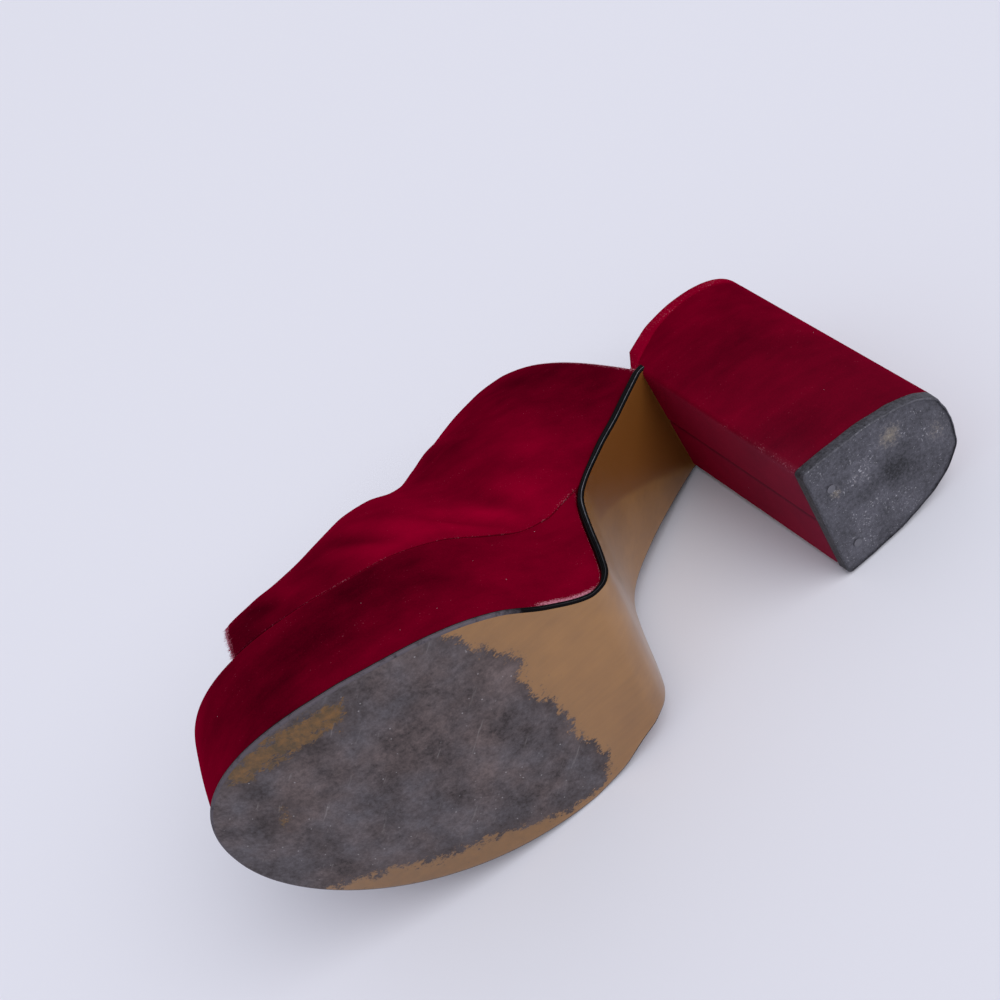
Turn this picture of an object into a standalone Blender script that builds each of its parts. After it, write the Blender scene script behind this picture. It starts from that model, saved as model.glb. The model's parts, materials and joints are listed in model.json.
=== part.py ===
"""Right platform mule: velvet vamp, platform and block heel on a leather outsole, lying on its outer side.

The pieces are worked out in the shoe's own frame, in millimetres: the origin lies on the ground
under the middle of the heel breast, X runs to the toe, Y to the inner side and Z up from the tread.
The whole shoe is then turned to rest on its outer side.
"""
import bpy
import bmesh
import numpy as np
from mathutils import Matrix, Vector

MM = 0.001
GAP = 0.3

# Sole
SOLE_CHAMFER = 0.7
TOE_X = 195.0
TOE_Y = 30.5
TOE_SPRING = 14.0
SPRING_FROM_X = 110.0
INNER_TOE_FROM_X = 147.0
INNER_TOE_POWER = 2.25
OUTER_TOE_FROM_X = 104.0
OUTER_TOE_POWER = 1.95
STATION_STEP = 4.0
TOE_STATIONS = 14
TOE_STATIONS_FROM_X = 150.0
TOE_CHORD = 0.4

# Platform
PLATFORM_INSET = 0.6
PLATFORM_TOE_SETBACK = 1.8
PLATFORM_MIN_THICKNESS = 1.2
WAIST_JOIN_X = 51.0

# Heel and its top piece
BREAST_X = 4.5
TOP_PIECE_THICKNESS = 5.3
TOP_PIECE_CHAMFER = 0.8
HEEL_GROUND_WIDTH = 45.8
HEEL_GROUND_LENGTH = 50.8
HEEL_SEAT_WIDTH = 50.3
HEEL_SEAT_LENGTH = 54.5
HEEL_SEAT_Y = 2.75
HEEL_INNER_POWER = 3.3
HEEL_OUTER_POWER = 2.4
HEEL_FACE_WIDTH = 46.3
HEEL_FACE_LENGTH = 49.5
HEEL_FACE_Y = 1.1
HEEL_LEVELS = 6
HEEL_SIDE_POINTS = 15
HEEL_BACK_ANGLE = 86.0
HEEL_CORNER = 2.5
TOP_PIECE_CORNER = 1.5
CORNER_POINTS = 4

# Insole
INSOLE_CHAMFER = 0.7
INSOLE_INSET = 3.9
SEAT_FULL_X = 1.5
SEAT_INSIDE_X = 4.8
INSOLE_STATION_STEP = 4.0
SEAT_STATIONS = 14

# Upper
UPPER_WALL = 2.0
UPPER_INSET = 1.5
UPPER_STATIONS = 36
UPPER_ARC_POINTS = 25

SHARP_EDGE_ANGLE = 40.0


def table(columns, rows):
    """Name the columns of a short table."""
    return {name: np.array(values, dtype=float) for name, values in zip(columns, zip(*rows))}


# Underside of the sole along its length: waist, upright back of the platform, tread.
PROFILE = table(("x", "z"), [
    (4.5, 83.6), (19.5, 73.6), (36.0, 61.3), (49.5, 48.0), (53.5, 41.3), (55.7, 35.0), (58.5, 25.0),
    (61.1, 15.0), (64.2, 6.0), (68.0, 1.8), (73.5, 0.0), (SPRING_FROM_X, 0.0)])

# Thickness of the sole, which is skived thinner where it is bent round the back of the platform.
SOLE_GAUGE = table(("x", "thickness"), [
    (4.5, 3.2), (30.0, 3.2), (52.0, 2.4), (62.0, 2.3), (71.0, 1.8), (100.0, 1.8), (TOE_X, 2.0)])

# The back of the platform stands square to the forefoot, which points inwards. Its stations turn
# with it: each lies further forward on the outer side, by this share of the distance from SKEW_Y.
SKEW_Y = 9.0
SKEW = table(("x", "share"), [(4.5, 0.0), (30.0, 0.05), (50.0, 0.12), (75.0, 0.12), (SPRING_FROM_X, 0.0)])

# Sole edge on the inner and the outer side, up to where the rounding of the toe begins.
INNER_EDGE = table(("x", "y"), [
    (4.5, 27.9), (19.5, 27.8), (34.5, 29.8), (46.0, 33.0), (54.2, 36.4), (62.5, 38.2), (70.0, 40.2),
    (80.5, 46.6), (92.0, 56.0), (104.0, 62.2), (115.0, 65.8), (127.0, 68.3), (138.0, 69.9),
    (INNER_TOE_FROM_X, 70.3)])
OUTER_EDGE = table(("x", "y"), [
    (4.5, -22.4), (19.5, -20.4), (34.5, -18.8), (46.0, -18.1), (58.2, -17.5), (70.0, -17.8),
    (80.5, -21.2), (92.0, -26.6), (OUTER_TOE_FROM_X, -29.1)])

# Top of the platform, which carries insole and upper, in front of the waist.
PLATFORM_TOP = table(("x", "z"), [
    (54.5, 47.6), (60.0, 44.5), (67.0, 41.8), (76.0, 41.4), (90.0, 43.0), (104.0, 42.8), (125.0, 41.6),
    (140.0, 42.0), (158.0, 43.0), (TOE_X, 48.0)])

# Heel seat behind the breast, as rises above the seat's front edge.
SEAT_RISE = table(("x", "rise"), [
    (-52.0, 16.2), (-38.0, 15.8), (-24.0, 14.3), (-13.0, 11.0), (-5.0, 6.4), (BREAST_X, 0.0)])

# Thickness of the footbed, which is padded under the heel and the arch.
INSOLE_GAUGE = table(("x", "thickness"), [
    (-52.0, 4.5), (-20.0, 5.0), (-5.0, 5.8), (10.0, 6.2), (24.0, 5.4), (45.0, 3.4), (60.0, 3.0),
    (TOE_X, 3.0)])

# Side of the platform from its bottom to its top edge, as shares of the height and insets.
PLATFORM_SIDE = table(("rise", "inset"), [
    (0.0, 0.3), (0.12, 0.0), (0.5, -0.3), (0.85, 0.0), (0.97, 0.3), (1.0, 0.9)])

# Sections of the vamp from its back edge to its toe edge. Each stands on the feather line at x and
# leans forward to its top at (top_x, top_z). Ridge is how far that top lies to the inner side of the
# middle. The inner and the outer side each swell past the base by full, and have a shoulder as
# square as power.
VAMP = table(("x", "top_x", "top_z", "ridge", "inner_full", "outer_full", "inner_power", "outer_power"), [
    (5.2, 51.0, 149.5, 2.0, 7.0, 5.5, 2.75, 2.30),
    (20.0, 61.0, 146.0, 3.0, 10.5, 8.0, 2.80, 2.30),
    (34.5, 71.0, 139.0, 4.0, 12.5, 8.5, 2.80, 2.30),
    (50.0, 81.5, 129.5, 5.0, 11.5, 7.5, 2.80, 2.30),
    (68.0, 92.5, 118.0, 6.0, 8.5, 5.0, 2.80, 2.30),
    (86.0, 103.0, 107.0, 7.0, 5.0, 2.5, 2.75, 2.30),
    (104.0, 112.5, 96.0, 7.5, 1.5, 0.5, 2.70, 2.25),
    (122.0, 124.5, 84.8, 8.0, -0.5, 0.0, 2.70, 2.20),
    (140.0, 140.5, 75.5, 8.0, -1.0, 0.0, 2.70, 2.20),
    (159.5, 157.5, 70.2, 8.0, 0.0, 0.0, 2.75, 2.20)])


def smooth(rows, column, x):
    """Monotone cubic through one column of a table, so that no curve swings past its rows."""
    xs, ys = rows["x"], rows[column]
    step = np.diff(xs)
    rise = np.diff(ys) / step
    slope = np.empty_like(ys)
    slope[0], slope[-1] = rise[0], rise[-1]
    before, after = rise[:-1], rise[1:]
    weight_before = 2 * step[1:] + step[:-1]
    weight_after = step[1:] + 2 * step[:-1]
    turns = before * after <= 0
    safe_before = np.where(turns, 1.0, before)
    safe_after = np.where(turns, 1.0, after)
    mean = (weight_before + weight_after) / (weight_before / safe_before + weight_after / safe_after)
    slope[1:-1] = np.where(turns, 0.0, mean)
    x = np.asarray(x, dtype=float)
    i = np.clip(np.searchsorted(xs, x) - 1, 0, len(step) - 1)
    t = np.clip((x - xs[i]) / step[i], 0.0, 1.0)
    start = (1 + 2 * t) * (1 - t) ** 2 * ys[i] + t * (1 - t) ** 2 * step[i] * slope[i]
    end = t ** 2 * (3 - 2 * t) * ys[i + 1] + t ** 2 * (t - 1) * step[i] * slope[i + 1]
    return start + end


def round_end(share, power):
    """Height of a quarter superellipse of unit size."""
    return (1 - np.clip(share, 0.0, 1.0) ** power) ** (1 / power)


def skewed(x, y):
    """Where the point of station x at the sideways place y really lies along the shoe."""
    return x - smooth(SKEW, "share", x) * (y - SKEW_Y)


def edge_at_station(rows, x):
    """Sideways place where a skewed station meets a sole edge."""
    y = smooth(rows, "y", x)
    for _ in range(4):
        y = smooth(rows, "y", skewed(x, y))
    return y


def sole_outline(x, inset=0.0, apex=TOE_X):
    """Inner and outer edge of the sole at station x, drawn in by an inset."""
    x = np.asarray(x, dtype=float)
    apex = apex - inset
    inner_toe = round_end((x - INNER_TOE_FROM_X) / (apex - INNER_TOE_FROM_X), INNER_TOE_POWER)
    outer_toe = round_end((x - OUTER_TOE_FROM_X) / (apex - OUTER_TOE_FROM_X), OUTER_TOE_POWER)
    inner = edge_at_station(INNER_EDGE, x) - inset
    outer = edge_at_station(OUTER_EDGE, x) + inset
    inner = np.where(x > INNER_TOE_FROM_X, TOE_Y + (inner - TOE_Y) * inner_toe, inner)
    outer = np.where(x > OUTER_TOE_FROM_X, TOE_Y + (outer - TOE_Y) * outer_toe, outer)
    return inner, outer


def seat_outline(x):
    """Inner and outer edge of the heel seat at x."""
    share = (BREAST_X - np.asarray(x)) / HEEL_SEAT_LENGTH
    half = HEEL_SEAT_WIDTH / 2
    inner = HEEL_SEAT_Y + half * round_end(share, HEEL_INNER_POWER)
    return inner, HEEL_SEAT_Y - half * round_end(share, HEEL_OUTER_POWER)


def underside(x):
    """Height of the sole's underside at x, with the toe spring."""
    share = np.clip((x - SPRING_FROM_X) / (TOE_X - SPRING_FROM_X), 0.0, None)
    return smooth(PROFILE, "z", x) + TOE_SPRING * share ** 2


def profile_normal(x):
    """Unit normal of the underside at x, pointing up into the shoe."""
    reach = 0.05
    slope = (underside(x + reach) - underside(x - reach)) / (2 * reach)
    length = np.sqrt(1 + slope ** 2)
    return -slope / length, 1 / length


def sole_stations(apex=TOE_X):
    """Places along the sole, evenly spaced along its profile and closer round the toe."""
    fine = np.linspace(BREAST_X + GAP, TOE_STATIONS_FROM_X, 1500)
    run = np.concatenate([[0.0], np.cumsum(np.hypot(np.diff(fine), np.diff(underside(fine))))])
    count = int(run[-1] / STATION_STEP)
    even = np.interp(np.linspace(0.0, run[-1], count), run, fine)
    reach = apex - TOE_CHORD - TOE_STATIONS_FROM_X
    toe = TOE_STATIONS_FROM_X + reach * np.sin(np.linspace(0.0, np.pi / 2, TOE_STATIONS + 1)[1:])
    return np.concatenate([even, toe])


def sole_upper_face(x, clearance=0.0):
    """Points of the sole's upper face above the stations x."""
    normal_x, normal_z = profile_normal(x)
    offset = smooth(SOLE_GAUGE, "thickness", x) + clearance
    return x + offset * normal_x, underside(x) + offset * normal_z


FINE_X = np.linspace(BREAST_X - 4.0, TOE_X, 4000)
FINE_TOP_X, FINE_TOP_Z = sole_upper_face(FINE_X)
WAIST_FRONT_Z = float(np.interp(WAIST_JOIN_X, FINE_TOP_X, FINE_TOP_Z))
SEAT_FRONT_Z = float(np.interp(BREAST_X, FINE_TOP_X, FINE_TOP_Z))
FEATHER_FRONT = {"x": np.concatenate([[WAIST_JOIN_X], PLATFORM_TOP["x"]]),
                 "z": np.concatenate([[WAIST_FRONT_Z], PLATFORM_TOP["z"]])}


def feather(x):
    """Height of the surface that carries insole and upper: heel seat, waist and platform top."""
    x = np.asarray(x, dtype=float)
    seat = SEAT_FRONT_Z + smooth(SEAT_RISE, "rise", x)
    waist = np.interp(x, FINE_TOP_X, FINE_TOP_Z)
    front = smooth(FEATHER_FRONT, "z", x)
    return np.where(x < BREAST_X, seat, np.where(x < WAIST_JOIN_X, waist, np.maximum(front, waist)))


def loft(name, rings, material):
    """Closed solid through rings of points. Point j of a ring faces point n - 1 - j across it."""
    rings = np.array(rings, dtype=float)
    rings[:, :, 0] = skewed(rings[:, :, 0], rings[:, :, 1])
    rings *= MM
    points = rings.shape[1]
    mesh_data = bmesh.new()
    verts = [[mesh_data.verts.new(point) for point in ring] for ring in rings]
    for lower, upper in zip(verts[:-1], verts[1:]):
        for j in range(points):
            k = (j + 1) % points
            mesh_data.faces.new((lower[j], lower[k], upper[k], upper[j]))
    for ring in (verts[0], verts[-1]):
        for j in range(points // 2 - 1):
            mesh_data.faces.new((ring[j], ring[j + 1], ring[points - 2 - j], ring[points - 1 - j]))
    bmesh.ops.recalc_face_normals(mesh_data, faces=mesh_data.faces)
    mesh = bpy.data.meshes.new(name)
    mesh_data.to_mesh(mesh)
    mesh_data.free()
    mesh.shade_smooth()
    mesh.set_sharp_from_angle(angle=np.radians(SHARP_EDGE_ANGLE))
    mesh.materials.append(material)
    obj = bpy.data.objects.new(name, mesh)
    bpy.context.scene.collection.objects.link(obj)
    return obj


def sheet_ring(low, high, edges, chamfer):
    """Section through a sheet with broken edges, between a low and a high (x, z) point."""
    low, high = np.array(low), np.array(high)
    rise = chamfer * (high - low) / np.linalg.norm(high - low)
    inner, outer = edges
    heights = (low + rise, low, low, low + rise, high - rise, high, high, high - rise)
    sides = (inner, inner - chamfer, outer + chamfer, outer, outer, outer + chamfer, inner - chamfer, inner)
    return [(point[0], y, point[1]) for point, y in zip(heights, sides)]


def heel_ring(breast_x, middle_y, width, length, corner, height_at):
    """D-shaped loop: flat breast with round corners, round back, height worked out along x."""
    angles = np.radians(np.linspace(0.0, HEEL_BACK_ANGLE, HEEL_SIDE_POINTS))[1:]
    turn = np.radians(np.linspace(0.0, 90.0, CORNER_POINTS))
    sides = []
    for side, power in ((1, HEEL_INNER_POWER), (-1, HEEL_OUTER_POWER)):
        x = breast_x - length * np.sin(angles) ** (2 / power)
        half = width / 2 * np.cos(angles) ** (2 / power)
        x = np.concatenate([breast_x - corner * (1 - np.cos(turn)), x])
        half = np.concatenate([width / 2 - corner * (1 - np.sin(turn)), half])
        sides.append(list(zip(x, middle_y + side * half, height_at(x))))
    return sides[0] + sides[1][::-1]


def finish(name, colour, roughness):
    """Plain Principled material."""
    material = bpy.data.materials.new(name)
    material.use_nodes = True
    shader = material.node_tree.nodes["Principled BSDF"]
    shader.inputs["Base Color"].default_value = (*colour, 1.0)
    shader.inputs["Roughness"].default_value = roughness
    shader.inputs["Metallic"].default_value = 0.0
    return material


def make_outsole():
    """Leather sheet along tread, upright back of the platform and waist."""
    x = sole_stations()
    top_x, top_z = sole_upper_face(x)
    top_x[0], top_z[0] = x[0], np.interp(x[0], FINE_TOP_X, FINE_TOP_Z)
    inner, outer = sole_outline(x)
    low_z = underside(x)
    rings = [sheet_ring((x[i], low_z[i]), (top_x[i], top_z[i]), (inner[i], outer[i]), SOLE_CHAMFER)
             for i in range(len(x))]
    return loft("outsole", rings, finish("sole_leather", (0.21, 0.11, 0.035), 0.35))


def make_platform():
    """Covered block between the outsole and the feather line, with a swollen side."""
    x = sole_stations(TOE_X - PLATFORM_INSET)
    low_x, low_z = sole_upper_face(x, GAP)
    inner, outer = sole_outline(x, PLATFORM_INSET)
    stretch = (TOE_X - PLATFORM_TOE_SETBACK - TOE_STATIONS_FROM_X) / (TOE_X - TOE_STATIONS_FROM_X)
    past = np.clip(low_x - TOE_STATIONS_FROM_X, 0.0, None)
    high_x = low_x - past * (1 - stretch)
    high_z = feather(high_x)
    rings = []
    for i in np.flatnonzero(high_z - low_z > PLATFORM_MIN_THICKNESS):
        if low_x[i] < WAIST_JOIN_X:
            continue
        side = []
        for rise, inset in zip(PLATFORM_SIDE["rise"], PLATFORM_SIDE["inset"]):
            width = min(1.0, (inner[i] - outer[i]) / (4 * abs(inset) + 1.0))
            place = (low_x[i] + rise * (high_x[i] - low_x[i]), low_z[i] + rise * (high_z[i] - low_z[i]))
            side.append((place, inset * width))
        ring = [(place[0], inner[i] - inset, place[1]) for place, inset in side]
        ring += [(place[0], outer[i] + inset, place[1]) for place, inset in side[::-1]]
        rings.append(ring)
    return loft("platform", rings, finish("platform_velvet", (0.19, 0.002, 0.018), 0.9))


def make_insole():
    """Covered footbed: inside the upper along the foot, flush with the heel block behind it."""
    back = BREAST_X - HEEL_SEAT_LENGTH + TOE_CHORD
    apex = TOE_X - PLATFORM_TOE_SETBACK
    toe_end = apex - INSOLE_INSET - TOE_CHORD
    count = int((TOE_STATIONS_FROM_X - back) / INSOLE_STATION_STEP)
    behind = back + (SEAT_FULL_X - back) * (1 - np.cos(np.linspace(0.0, np.pi / 2, SEAT_STATIONS)))
    along = np.linspace(SEAT_INSIDE_X, TOE_STATIONS_FROM_X, count)
    reach = toe_end - TOE_STATIONS_FROM_X
    toe = TOE_STATIONS_FROM_X + reach * np.sin(np.linspace(0.0, np.pi / 2, TOE_STATIONS + 1)[1:])
    x = np.concatenate([behind, along, toe])
    seat_inner, seat_outer = seat_outline(x)
    foot_inner, foot_outer = sole_outline(x, INSOLE_INSET, apex)
    inner = np.where(x <= SEAT_FULL_X, seat_inner, foot_inner)
    outer = np.where(x <= SEAT_FULL_X, seat_outer, foot_outer)
    low = feather(x) + GAP
    slope = np.gradient(low, x)
    high = low + smooth(INSOLE_GAUGE, "thickness", x) * np.sqrt(1 + slope ** 2)
    rings = [sheet_ring((x[i], low[i]), (x[i], high[i]), (inner[i], outer[i]), INSOLE_CHAMFER)
             for i in range(len(x))]
    return loft("insole", rings, finish("insole_velvet", (0.15, 0.002, 0.015), 0.9))


def vamp_arc(middle, half, height, row):
    """Open arch over the foot: sideways place and height above the feather line, inner side first."""
    angles = np.linspace(0.0, np.pi, UPPER_ARC_POINTS)
    on_inner = angles < np.pi / 2
    power = np.where(on_inner, row["inner_power"], row["outer_power"])
    full = np.where(on_inner, row["inner_full"], -row["outer_full"])
    cosine = np.cos(angles)
    rise = np.sin(angles).clip(0.0) ** (2 / power)
    width = np.sign(cosine) * np.abs(cosine) ** (2 / power)
    swell = full * 4 * rise * (1 - rise)
    return middle + row["ridge"] * rise ** 2 + width * half + swell, rise * height


def make_upper():
    """Hollow vamp, open at toe, back and underneath."""
    columns = [name for name in VAMP if name != "x"]
    rings = []
    for x in np.linspace(VAMP["x"][0], VAMP["x"][-1], UPPER_STATIONS):
        row = {name: float(smooth(VAMP, name, x)) for name in columns}
        inner, outer = sole_outline(x, UPPER_INSET)
        middle, half = (inner + outer) / 2, (inner - outer) / 2
        base_z = float(feather(x)) + GAP
        reach = np.array([row["top_x"] - x, row["top_z"] - base_z])
        height = np.linalg.norm(reach)
        lean_x, lean_z = reach / height
        walls = []
        for wall in (0.0, UPPER_WALL):
            y, rise = vamp_arc(middle, half - wall, height - wall, row)
            walls.append(list(zip(x + rise * lean_x, y, base_z + rise * lean_z)))
        rings.append(walls[0] + walls[1][::-1])
    return loft("upper", rings, finish("upper_velvet", (0.20, 0.002, 0.02), 0.9))


def make_heel():
    """Tall covered block that tapers from the seat to the top piece."""
    base_z = TOP_PIECE_THICKNESS + GAP
    rings = []
    for share in np.linspace(0.0, 1.0, HEEL_LEVELS):
        width = HEEL_GROUND_WIDTH + share * (HEEL_SEAT_WIDTH - HEEL_GROUND_WIDTH)
        length = HEEL_GROUND_LENGTH + share * (HEEL_SEAT_LENGTH - HEEL_GROUND_LENGTH)

        def height_at(x, share=share):
            return base_z + share * (feather(np.minimum(x, BREAST_X - 1e-6)) - base_z)

        rings.append(heel_ring(share * BREAST_X, share * HEEL_SEAT_Y, width, length, HEEL_CORNER, height_at))
    return loft("heel", rings, finish("heel_velvet", (0.19, 0.002, 0.018), 0.9))


def make_top_piece():
    """Rubber piece under the heel, with a broken lower edge. Its face leans to the inner side."""
    levels = ((0.0, HEEL_FACE_WIDTH, HEEL_FACE_LENGTH, HEEL_FACE_Y, TOP_PIECE_CHAMFER),
              (TOP_PIECE_CHAMFER, HEEL_FACE_WIDTH, HEEL_FACE_LENGTH, HEEL_FACE_Y, 0.0),
              (TOP_PIECE_THICKNESS, HEEL_GROUND_WIDTH, HEEL_GROUND_LENGTH, 0.0, 0.0))
    rings = []
    for height, width, length, middle_y, inset in levels:

        def height_at(x, height=height):
            return np.full_like(x, height)

        rings.append(heel_ring(-inset, middle_y, width - 2 * inset, length - 2 * inset, TOP_PIECE_CORNER,
                               height_at))
    return loft("top_piece", rings, finish("top_piece_rubber", (0.02, 0.02, 0.022), 0.7))


def corner_array(obj):
    """All corners of an object's mesh."""
    points = np.empty(len(obj.data.vertices) * 3)
    obj.data.vertices.foreach_get("co", points)
    return points.reshape(-1, 3)


def volume_centre(objects):
    """Centre of volume of the pieces together."""
    total, moment = 0.0, np.zeros(3)
    for obj in objects:
        obj.data.calc_loop_triangles()
        corners = corner_array(obj)
        for triangle in obj.data.loop_triangles:
            a, b, c = (corners[i] for i in triangle.vertices)
            volume = np.dot(a, np.cross(b, c)) / 6
            total += volume
            moment += volume * (a + b + c) / 4
    return moment / total


def resting_face(objects, centre):
    """Outward normal of the hull face on the outer side that lies under the centre."""
    hull = bmesh.new()
    for point in np.concatenate([corner_array(obj) for obj in objects]):
        hull.verts.new(point)
    bmesh.ops.convex_hull(hull, input=hull.verts)
    bmesh.ops.recalc_face_normals(hull, faces=hull.faces)
    best, best_margin = None, -1.0
    for face in hull.faces:
        normal = face.normal.copy()
        if normal.y > -0.7:
            continue
        corners = [vert.co for vert in face.verts]
        edges = zip(corners, corners[1:] + corners[:1])
        margin = min((b - a).normalized().cross(Vector(centre) - a).dot(normal) for a, b in edges)
        if margin > best_margin:
            best, best_margin = normal, margin
    hull.free()
    return best


def lay_on_side(objects):
    """Turn the shoe to rest on its outer side, toe to +X, with the origin at the bottom centre of its box."""
    down = resting_face(objects, volume_centre(objects))
    tip = down.rotation_difference(Vector((0.0, 0.0, -1.0))).to_matrix()
    toe = tip @ Vector((1.0, 0.0, 0.0))
    turn = Matrix.Rotation(-np.arctan2(toe.y, toe.x), 3, "Z") @ tip
    corners = np.concatenate([corner_array(obj) for obj in objects]) @ np.array(turn).T
    low, high = corners.min(axis=0), corners.max(axis=0)
    shift = Vector((-(low[0] + high[0]) / 2, -(low[1] + high[1]) / 2, -low[2]))
    holder = bpy.data.objects.new("shoe", None)
    bpy.context.scene.collection.objects.link(holder)
    holder.matrix_world = Matrix.Translation(shift) @ turn.to_4x4()
    for obj in objects:
        obj.parent = holder


for old in list(bpy.data.objects):
    bpy.data.objects.remove(old, do_unlink=True)

lay_on_side([make_outsole(), make_platform(), make_insole(), make_upper(), make_heel(), make_top_piece()])
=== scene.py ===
import json
import math

import bmesh
import bpy
import numpy as np
from mathutils import Matrix, Quaternion, Vector, noise


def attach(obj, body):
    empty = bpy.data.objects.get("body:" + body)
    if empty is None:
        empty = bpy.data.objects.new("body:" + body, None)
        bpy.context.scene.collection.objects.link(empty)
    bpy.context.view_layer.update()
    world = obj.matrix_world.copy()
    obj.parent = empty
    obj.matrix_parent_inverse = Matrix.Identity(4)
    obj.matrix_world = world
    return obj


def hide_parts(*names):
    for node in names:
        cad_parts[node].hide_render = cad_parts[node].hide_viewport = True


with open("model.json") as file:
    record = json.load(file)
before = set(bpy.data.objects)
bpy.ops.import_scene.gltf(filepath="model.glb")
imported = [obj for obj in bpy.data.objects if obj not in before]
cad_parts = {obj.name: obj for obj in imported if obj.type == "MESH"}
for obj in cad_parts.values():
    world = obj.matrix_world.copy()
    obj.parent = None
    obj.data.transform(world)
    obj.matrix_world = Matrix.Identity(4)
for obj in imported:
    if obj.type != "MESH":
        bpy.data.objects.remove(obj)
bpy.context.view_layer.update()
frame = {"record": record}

# Outsole
# One sheet of vegetable-tanned sole leather, cut to the outline, bent over the waist and down the back
# of the platform, and glued on. Its edge is rounded and inked black, its underside varnished amber.
# Walking has worn the forefoot to bare grey leather, up to a ragged line.

MM = 0.001
GAP = 0.3
TOE_X = 195.0
TOE_Y = 30.5
TOE_SPRING = 14.0
SPRING_FROM_X = 110.0
INNER_TOE_FROM_X = 147.0
INNER_TOE_POWER = 2.25
OUTER_TOE_FROM_X = 104.0
OUTER_TOE_POWER = 1.95
TOE_CHORD = 0.004
TOE_STATIONS_FROM_X = 150.0
TOE_STATIONS = 46
STATION_STEP = 1.4
SOLE_ACROSS = 64
BREAST_X = 4.5
TUCK_UNDER_HEEL = 2.0


def table(columns, rows):
    """Name the columns of a short table."""
    return {name: np.array(values, dtype=float) for name, values in zip(columns, zip(*rows))}


# Underside of the sole along its length: waist, upright back of the platform, tread.
PROFILE = table(("x", "z"), [
    (4.5, 83.6), (19.5, 73.6), (36.0, 61.3), (49.5, 48.0), (53.5, 41.3), (55.7, 35.0), (58.5, 25.0),
    (61.1, 15.0), (64.2, 6.0), (68.0, 1.8), (73.5, 0.0), (SPRING_FROM_X, 0.0)])

# Thickness of the sole, which is skived thinner from the back of the platform to the toe.
SOLE_GAUGE = table(("x", "thickness"), [
    (4.5, 3.2), (30.0, 3.2), (52.0, 2.4), (62.0, 2.3), (71.0, 1.8), (100.0, 1.8), (TOE_X, 2.0)])

# The back of the platform stands square to the forefoot, which points inwards: a station lies
# further forward on the outer side, by this share of the distance from SKEW_Y.
SKEW_Y = 9.0
SKEW = table(("x", "share"), [(4.5, 0.0), (30.0, 0.05), (50.0, 0.12), (75.0, 0.12), (SPRING_FROM_X, 0.0)])

# Sole edge on the inner and the outer side, up to where the rounding of the toe begins.
INNER_EDGE = table(("x", "y"), [
    (4.5, 27.9), (19.5, 27.8), (34.5, 29.8), (46.0, 33.0), (54.2, 36.4), (62.5, 38.2), (70.0, 40.2),
    (80.5, 46.6), (92.0, 56.0), (104.0, 62.2), (115.0, 65.8), (127.0, 68.3), (138.0, 69.9),
    (INNER_TOE_FROM_X, 70.3)])
OUTER_EDGE = table(("x", "y"), [
    (4.5, -22.4), (19.5, -20.4), (34.5, -18.8), (46.0, -18.1), (58.2, -17.5), (70.0, -17.8),
    (80.5, -21.2), (92.0, -26.6), (OUTER_TOE_FROM_X, -29.1)])

# Edge of the sole from the middle of its side down to the tread, as inset and depth: the side, a groove
# left by the edge iron, the bead below it and the rounded corner.
SOLE_RIM = ((0.0, 1.15), (0.0, 1.05), (0.22, 0.92), (0.1, 0.72), (0.16, 0.5), (0.36, 0.25), (0.6, 0.08),
            (0.85, 0.0))
BEAD = 3

# A sheet thinner than this many rims has its rim pressed flatter.
RIM_ROOM = 2.1

# Line behind which the tread has kept its varnish, from the outer to the inner side, and the strip
# that has kept it along the outer edge.
WORN_FROM = table(("x", "reach"), [
    (-29.0, 104.0), (-22.0, 96.0), (-14.0, 93.0), (1.0, 96.5), (12.0, 95.0), (23.0, 97.5), (33.0, 97.3),
    (38.0, 94.7), (46.0, 100.0), (56.0, 103.8), (62.0, 106.0)])
KEPT_STRIP = table(("x", "edge"), [
    (100.0, -27.5), (114.0, -25.0), (125.0, -20.3), (135.0, -14.5), (151.0, -9.5), (160.0, -4.0),
    (170.0, -0.5), (180.0, 2.0), (TOE_X, 4.0)])

# Patches of varnish left inside the worn part: ends of the middle line, and half width, which is
# negative where only traces are left.
KEPT_PATCHES = table(("x0", "y0", "x1", "y1", "half"), [
    (144.0, 63.2, 172.5, 63.0, 3.4), (172.5, 43.0, 176.5, 34.0, -1.0), (114.5, 61.5, 115.2, 61.6, -1.6)])
WEAR_LIMIT = 12.0
RUBBED_STRIP = 3.0
RUBBED_STRIP_FROM = (98.0, 116.0)

# Stretches of the sole, in mm, over which a look comes in or, where they run backwards, goes out: ink
# rubbed off the edge, a painted highlight along its bead, and street dirt on the varnish that the
# forefoot has kept.
INK_RUBBED = (80.0, 96.0)
INK_RUBBED_BELOW = 1.15
INK_RUBBED_ABOVE = 0.35
BEAD_BRIGHT = (58.0, 50.0)
BEAD_ENDS = (90.0, 72.0)
DIRT_ALONG = (104.0, 122.0)
DIRT_ACROSS = (10.0, 35.0)

# The varnish of the waist is darker on one side of a line, where it mirrors the heel. This is painted in.
MIRROR_X = 45.7
MIRROR_Y = 15.0
MIRROR_SLOPE = 0.85
MIRROR_BLUR = (-1.0, 1.2)
MIRROR_ENDS = (52.0, 46.0)

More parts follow.
